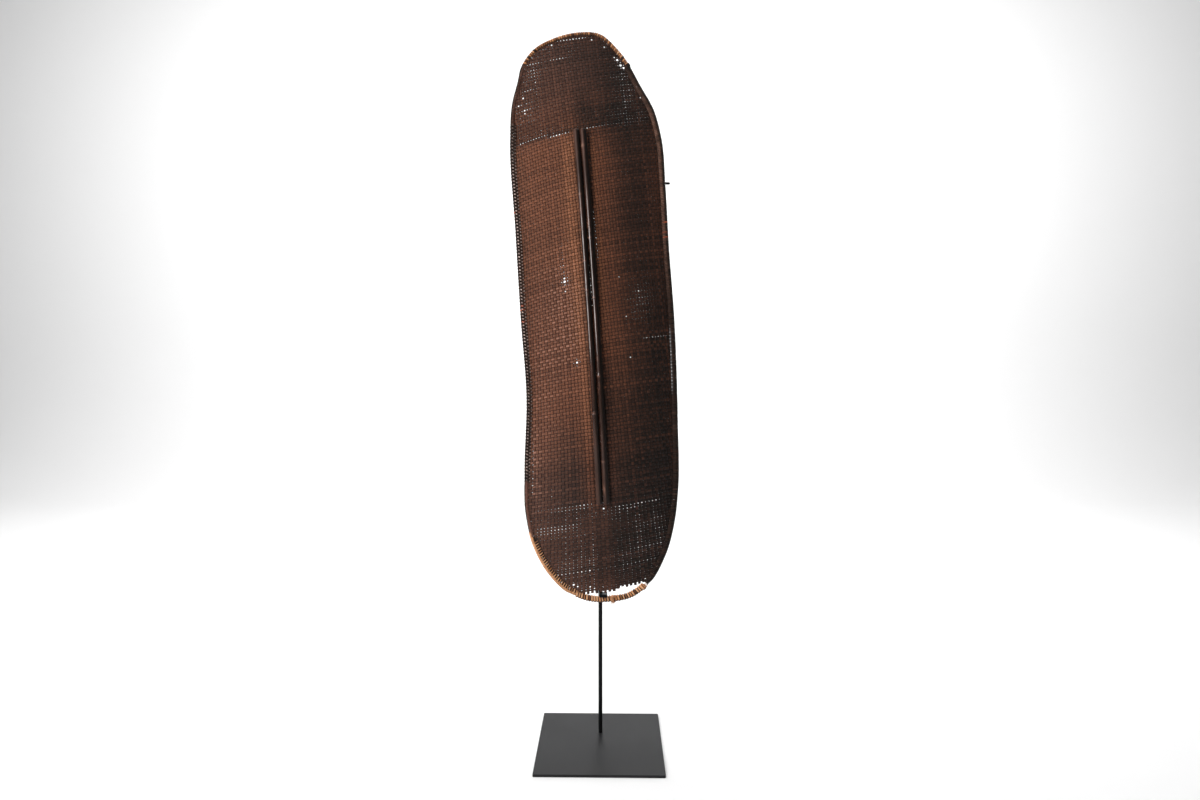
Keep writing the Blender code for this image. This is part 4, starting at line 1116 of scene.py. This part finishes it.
class Finish:
    """A Principled material and short ways to add nodes to it."""

    def __init__(self, name):
        self.material = bpy.data.materials.new(name)
        self.material.use_nodes = True
        self.tree = self.material.node_tree
        self.shader = self.tree.nodes["Principled BSDF"]

    def add(self, kind, **traits):
        """A node with its own settings."""
        node = self.tree.nodes.new(kind)
        for key, value in traits.items():
            setattr(node, key, value)
        return node

    def feed(self, socket, value):
        """Link a socket to another one, or set it to a number, a way or a colour."""
        if isinstance(value, bpy.types.NodeSocket):
            self.tree.links.new(value, socket)
        else:
            socket.default_value = (*value, 1.0) if socket.type == "RGBA" else value

    def put(self, node, **inputs):
        """Feed a node's sockets by name, with _ for a space."""
        for key, value in inputs.items():
            self.feed(node.inputs[key.replace("_", " ")], value)
        return node

    def value(self, name):
        """A float that the mesh carries."""
        return self.add("ShaderNodeAttribute", attribute_name=name).outputs["Fac"]

    def noise(self, over, scale, detail=4.0, rough=0.6, stretch=(1.0, 1.0, 1.0), turn=0.0):
        """Noise over the object or the strip, on coordinates that are stretched and turned."""
        if over == "strip":
            where = self.add("ShaderNodeUVMap", uv_map="Strip").outputs["UV"]
        else:
            where = self.add("ShaderNodeTexCoord").outputs["Object"]
        mapping = self.put(self.add("ShaderNodeMapping"), Vector=where, Scale=stretch,
                           Rotation=(0.0, turn, 0.0))
        cloud = self.put(self.add("ShaderNodeTexNoise"), Vector=mapping.outputs["Vector"],
                         Scale=scale, Detail=detail, Roughness=rough)
        return cloud.outputs["Fac"]

    def ramp(self, factor, *stops):
        """A colour ramp from (place, colour) stops."""
        node = self.put(self.add("ShaderNodeValToRGB"), Fac=factor)
        ramp = node.color_ramp
        while len(ramp.elements) < len(stops):
            ramp.elements.new(1.0)
        for element, (place, colour) in zip(ramp.elements, stops):
            element.position = place
            element.color = (*colour, 1.0)
        return node.outputs["Color"]

    def mix(self, factor, a, b):
        """Two colours mixed."""
        node = self.add("ShaderNodeMix", data_type="RGBA")
        for socket, value in zip((node.inputs[0], node.inputs[6], node.inputs[7]), (factor, a, b)):
            self.feed(socket, value)
        return node.outputs[2]

    def reckon(self, operation, first, *others):
        """Numbers taken together, one after another."""
        for other in others:
            node = self.add("ShaderNodeMath", operation=operation)
            self.feed(node.inputs[0], first)
            self.feed(node.inputs[1], other)
            first = node.outputs[0]
        return first

    def times(self, *numbers):
        """Numbers multiplied."""
        return self.reckon("MULTIPLY", *numbers)

    def plus(self, *numbers):
        """Numbers added."""
        return self.reckon("ADD", *numbers)

    def fit(self, value, low, high, to_low, to_high):
        """A number's range laid onto another."""
        node = self.put(self.add("ShaderNodeMapRange"), Value=value, From_Min=low, From_Max=high,
                        To_Min=to_low, To_Max=to_high)
        return node.outputs["Result"]

    def edges(self, flat, edge, low):
        """1 on the flat of a strip, falling to a low value from a share of its half width on."""
        node = self.put(self.add("ShaderNodeMath", operation="ABSOLUTE"), Value=self.value("side"))
        return self.fit(node.outputs[0], flat, edge, 1.0, low)

    def relief(self, height, depth, strength):
        """The material, with a bump from a height."""
        node = self.put(self.add("ShaderNodeBump"), Height=height, Distance=depth, Strength=strength)
        self.put(self.shader, Normal=node.outputs["Normal"])
        return self.material

    def coat(self, colour, shine, cloud, smooth, rough):
        """Colour, shine, and a roughness that follows a cloud."""
        self.put(self.shader, Base_Color=colour, Specular_IOR_Level=shine,
                 Roughness=self.fit(cloud, 0.3, 0.7, smooth, rough))


def woven_finish(colours):
    """Brown split cane: painted shade in the dips and gaps, pinkish crests that are partly wear and
    partly painted highlight, streaks along each strip.
    """
    f = Finish("Woven cane")
    tone, crest = f.value("tone"), f.value("crest")
    clouds, blots = f.noise("object", 9.0, detail=5.0), f.noise("object", 38.0)
    streaks = f.noise("strip", 420.0, stretch=(0.22, 1.0, 1.0))
    base = f.ramp(f.value("warmth"), (0.0, colours.mauve), (0.45, colours.cane), (1.0, colours.warm))
    shade = f.plus(f.times(tone, 0.5), f.times(clouds, 0.4), f.times(blots, 0.3))
    base = f.mix(f.fit(shade, 0.30, 0.80, 0.62, 0.0), base, colours.soot_and_shade_colour)
    # Pinkish crests: partly wear, partly a painted highlight along the strips.
    rub_and_sheen = f.times(f.fit(crest, 0.25, 0.70, 0.0, 1.0), f.value("rubbed"),
                  f.fit(tone, 0.25, 0.85, 0.10, 1.0), f.edges(0.15, 0.80, 0.15))
    base = f.mix(rub_and_sheen, base, colours.rubbed)
    # Sooty patina together with painted shade: the right side, the painted cane shadows and the
    # painted contact shade at the lower left edge.
    darkened = f.times(f.value("grime"), f.fit(tone, 0.2, 1.0, 1.20, 0.55))
    base = f.mix(darkened, base, colours.soot_and_shade_colour)
    # Painted shade in the dips where a strip passes under, and in the gaps between strips.
    gap_shade = f.times(f.fit(crest, 0.05, 0.50, 0.10, 1.0), f.edges(0.50, 0.92, 0.02))
    base = f.mix(gap_shade, GAP_SHADE_COLOUR, base)
    base = f.mix(f.fit(streaks, 0.35, 0.75, 0.30, 0.0), base, colours.soot_and_shade_colour)
    f.coat(base, 0.14, streaks, 0.42, 0.62)
    return f.relief(streaks, 0.0004, 0.6)


def polished_finish(colours):
    """Near-black cane, glossy on its lit flank, with fine streaks along it, rubbed rings at its
    nodes, and painted shade on the flank away from the light.
    """
    f = Finish("Polished cane")
    streaks = f.noise("object", 260.0, stretch=(1.0, 1.0, 0.05), turn=SHIELD_LEAN)
    clouds = f.noise("object", 26.0, stretch=(1.0, 1.0, 0.4))
    flakes = f.noise("object", 90.0, detail=3.0, stretch=(1.0, 1.0, 0.3))
    dull = f.fit(f.value("gloss"), 0.0, 1.0, 1.0, 0.0)
    brown = f.times(f.fit(clouds, 0.40, 0.75, 0.20, 0.75), f.fit(dull, 0.0, 1.0, 0.50, 0.90))
    base = f.mix(brown, POLISH, colours.mauve)
    base = f.mix(f.fit(flakes, 0.60, 0.72, 0.0, 0.30), base, colours.rubbed)
    base = f.mix(f.fit(streaks, 0.45, 0.75, 0.0, 0.6), base, colours.soot_and_shade_colour)
    base = f.mix(f.times(f.value("node"), 0.25), base, colours.rubbed)
    # Painted shade: the flank away from the light is near black.
    base = f.mix(f.value("handled"), SHADED_FLANK, base)
    gloss = f.times(f.value("gloss"), f.fit(streaks, 0.35, 0.62, 1.0, 0.35),
                    f.fit(flakes, 0.45, 0.62, 1.0, 0.55))
    f.put(f.shader, Base_Color=base, Specular_IOR_Level=0.30, Specular_Tint=(1.0, 0.80, 0.74),
          Roughness=f.plus(f.fit(streaks, 0.3, 0.7, 0.09, 0.20), f.times(dull, 0.30)),
          Coat_Weight=gloss, Coat_Roughness=0.10, Coat_IOR=1.9, Coat_Tint=(1.0, 0.86, 0.82))
    return f.relief(streaks, 0.0003, 0.30)


def bare_cane_finish(colours):
    """Tan cane: orange to brown by strip, dirt in blotches, fibres along each strip, and painted
    shade on undersides, on the hoop's inner side and at the edges of the turns.
    """
    f = Finish("Worn cane")
    fibres = f.noise("strip", 900.0, detail=3.0, stretch=(0.10, 1.0, 1.0))
    mixed = f.plus(f.times(f.value("tone"), 0.7), f.times(f.noise("object", 60.0), 0.4))
    base = f.ramp(mixed, (0.25, colours.soot_and_shade_colour), (0.42, GRIMY), (0.60, colours.bare), (0.85, LIGHT_TAN))
    base = f.mix(f.fit(fibres, 0.35, 0.7, 0.45, 0.0), base, colours.soot_and_shade_colour)
    base = f.mix(f.value("fleck"), base, FLECK_ON_TAN)
    # Painted shade on the undersides and the hoop's inner side.
    base = f.mix(f.fit(f.value("under"), 0.15, 0.75, 0.0, 0.92), base, colours.soot_and_shade_colour)
    # Painted shade at the edges of the wound strips, in the gaps between turns.
    base = f.mix(f.edges(0.62, 0.90, 0.04), colours.soot_and_shade_colour, base)
    f.coat(base, 0.15, fibres, 0.40, 0.60)
    return f.relief(fibres, 0.0003, 0.5)


def lashing_finish(colours, name, where, from_value, to_value, bared):
    """Dark binding strips: near black, and bared to another colour where a value runs up. On the
    right lashing the bared inner side is partly wear and partly painted light. Painted shade falls
    where strands pass under and at strip edges, and a painted glint marks the right lashing.
    """
    f = Finish(name)
    clouds, patches = f.noise("object", 70.0), f.noise("object", 150.0, detail=3.0)
    fibres = f.noise("strip", 900.0, detail=3.0, stretch=(0.10, 1.0, 1.0))
    mixed = f.plus(f.times(f.value("tone"), 0.8), f.times(clouds, 0.4))
    base = f.ramp(mixed, (0.25, colours.soot_and_shade_colour), (0.55, DARK_STRIP), (0.90, BROWN_STRIP))
    worn = f.times(f.fit(f.value(where), from_value, to_value, 0.0, 1.0), f.value("worn"),
                   f.fit(f.value("inner"), 0.12, 0.30, 0.0, 1.0),
                   f.fit(patches, 0.35, 0.60, 0.45, 1.0), f.fit(clouds, 0.30, 0.55, 0.35, 1.0))
    base = f.mix(worn, base, bared)
    base = f.mix(f.value("fleck"), base, FLECK_ON_DARK)
    # Painted highlight: the pale glint on the right lashing's inner side.
    pale = f.times(f.value("glint"), f.fit(patches, 0.40, 0.55, 0.35, 1.0))
    base = f.mix(pale, base, GLINT)
    # Painted shade where a strand passes under and at the strips' edges.
    gap_shade = f.times(f.fit(f.value("crest"), 0.0, 0.5, 0.2, 1.0), f.edges(0.55, 0.90, 0.1))
    base = f.mix(gap_shade, GAP_SHADE_COLOUR, base)
    f.coat(base, 0.10, fibres, 0.38, 0.58)
    return f.relief(fibres, 0.0003, 0.5)


def plate_finish(colours):
    """Charcoal satin coating with a fine grain and faint clouds."""
    f = Finish("Plate steel")
    clouds = f.noise("object", 7.0)
    f.coat(f.mix(f.fit(clouds, 0.35, 0.7, 0.0, 0.6), colours.plate, PLATE_CLOUD), 0.15, clouds,
           0.34, 0.44)
    return f.relief(f.noise("object", 900.0, detail=2.0, rough=0.5), 0.0001, 0.25)


def rod_finish(colours):
    """Black satin coating, a little orange-peel in it."""
    f = Finish("Rod steel")
    grain = f.noise("object", 500.0, detail=2.0, rough=0.5)
    f.coat(f.mix(f.fit(grain, 0.3, 0.7, 0.0, 1.0), colours.rod, ROD_GRAIN), 0.08, grain, 0.30, 0.42)
    return f.relief(grain, 0.0001, 0.2)


class SHIELD_OT_stand(bpy.types.Operator):
    """Coat the steel stand"""

    bl_idname = "shield.stand"
    bl_label = "Coat the stand"

    def execute(self, context):
        colours = context.scene.shield_colours
        plate, rod = plate_finish(colours), rod_finish(colours)
        for name, finish in (("base_plate", plate), ("upright_rod", rod), ("cross_bar", rod),
                             ("rest_lug", rod)):
            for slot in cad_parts[name].material_slots:
                slot.material = finish
        return {"FINISHED"}


# Stage

def soft_box(name, power, size, place, target, mirrored=True):
    """A soft light that faces a point, and whether gloss mirrors it."""
    light = bpy.data.lights.new(name, "AREA")
    light.shape = "RECTANGLE"
    light.size, light.size_y = size
    light.energy = power
    lamp = bpy.data.objects.new(name, light)
    lamp.location = place
    lamp.visible_glossy = mirrored
    lamp.rotation_euler = (Vector(target) - Vector(place)).to_track_quat("-Z", "Y").to_euler()
    bpy.context.scene.collection.objects.link(lamp)


def sweep_backdrop(width=12.0, front=-6.0, back=3.0, bend=1.2, height=6.0, count=24):
    """Floor that bends up into a wall: a straight, a quarter circle and a straight, drawn across."""
    turn = np.linspace(0.0, pi / 2, count)
    y = np.concatenate([[front], back + bend * np.sin(turn), [back + bend]])
    z = np.concatenate([[0.0], bend * (1.0 - np.cos(turn)), [height]])
    grid = stacked(np.array([-width / 2, width / 2]), y[:, None], z[:, None])
    row = np.arange(len(y) - 1)[:, None] * 2
    return mesh_piece("studio_floor", grid, [row + np.array([0, 1, 3, 2])])


def white_world(sky, seen=0.9):
    """A white surround: as bright as seen for the camera, and as the sky for the light it gives."""
    world = bpy.data.worlds.new("Studio")
    world.use_nodes = True
    nodes, links = world.node_tree.nodes, world.node_tree.links
    background = nodes["Background"]
    background.inputs["Color"].default_value = (1.0, 1.0, 1.0, 1.0)
    strength = nodes.new("ShaderNodeMapRange")
    strength.inputs["To Min"].default_value = sky
    strength.inputs["To Max"].default_value = seen
    links.new(nodes.new("ShaderNodeLightPath").outputs["Is Camera Ray"], strength.inputs["Value"])
    links.new(strength.outputs["Result"], background.inputs["Strength"])
    return world


def place_camera(studio, sensor=36.0):
    """The camera as the photograph was taken: its lens, place, tilt and turn."""
    camera = bpy.data.cameras.new("Camera")
    camera.lens = studio.lens * 1000.0
    camera.sensor_width = sensor
    camera.sensor_fit = "HORIZONTAL"
    viewer = bpy.data.objects.new("Camera", camera)
    viewer.location = studio.camera
    viewer.rotation_euler = (pi / 2 - studio.pitch, 0.0, studio.yaw)
    bpy.context.scene.collection.objects.link(viewer)
    bpy.context.scene.camera = viewer


class SHIELD_OT_stage(bpy.types.Operator):
    """Set up the floor, the light and the camera"""

    bl_idname = "shield.stage"
    bl_label = "Set the stage"

    def execute(self, context):
        studio = context.scene.shield_studio
        floor = sweep_backdrop()
        f = Finish("Studio floor")
        f.put(f.shader, Base_Color=(0.9, 0.9, 0.9), Roughness=0.9)
        floor.data.materials.append(f.material)
        context.scene.world = white_world(studio.sky)
        soft_box("Key", studio.key, (1.8, 2.2), (-2.2, -1.9, 1.9), (0.0, 0.0, 1.0))
        soft_box("Fill", studio.fill, (2.4, 1.8), (-0.3, -3.2, 2.4), (0.0, 0.0, 1.0), mirrored=False)
        soft_box("Top", studio.top, (5.0, 3.0), (0.0, 0.6, 4.2), (0.0, 0.6, 0.0))
        soft_box("Wall", studio.wall, (8.0, 1.2), (0.0, 0.9, 3.6), (0.0, 4.2, 2.0))
        context.scene.view_settings.view_transform = "Standard"
        place_camera(studio)
        return {"FINISHED"}


class VIEW3D_PT_shield(bpy.types.Panel):
    """Sizes, colours and steps of the shield"""

    bl_label = "Cane shield"
    bl_idname = "VIEW3D_PT_shield"
    bl_space_type = "VIEW_3D"
    bl_region_type = "UI"
    bl_category = "Shield"

    def draw(self, context):
        for name in GROUPS:
            group, box = getattr(context.scene, name), self.layout.box()
            for key in group.bl_rna.properties.keys():
                if key not in ("rna_type", "name"):
                    box.prop(group, key)
        for step in STEPS:
            self.layout.operator(step.bl_idname)


STEPS = (SHIELD_OT_stage, SHIELD_OT_weave, SHIELD_OT_hoop, SHIELD_OT_bindings, SHIELD_OT_face_canes,
         SHIELD_OT_stand)
GROUPS = {"shield_weave": WeaveSizes, "shield_bindings": BindingSizes,
          "shield_colours": FinishColours, "shield_studio": StudioSettings}


def register():
    for kind in (*GROUPS.values(), *STEPS, VIEW3D_PT_shield):
        bpy.utils.register_class(kind)
    for name, group in GROUPS.items():
        setattr(bpy.types.Scene, name, PointerProperty(type=group))


def unregister():
    for name in GROUPS:
        delattr(bpy.types.Scene, name)
    for kind in (VIEW3D_PT_shield, *STEPS, *GROUPS.values()):
        bpy.utils.unregister_class(kind)


def plain(box):
    """A box as plain lists of numbers."""
    return [[float(number) for number in corner] for corner in box]


def main():
    register()
    bpy.ops.shield.stage()
    bpy.ops.shield.weave()
    bpy.ops.shield.hoop()
    bpy.ops.shield.bindings()
    bpy.ops.shield.face_canes()
    bpy.ops.shield.stand()


if __name__ == "__main__":
    main()
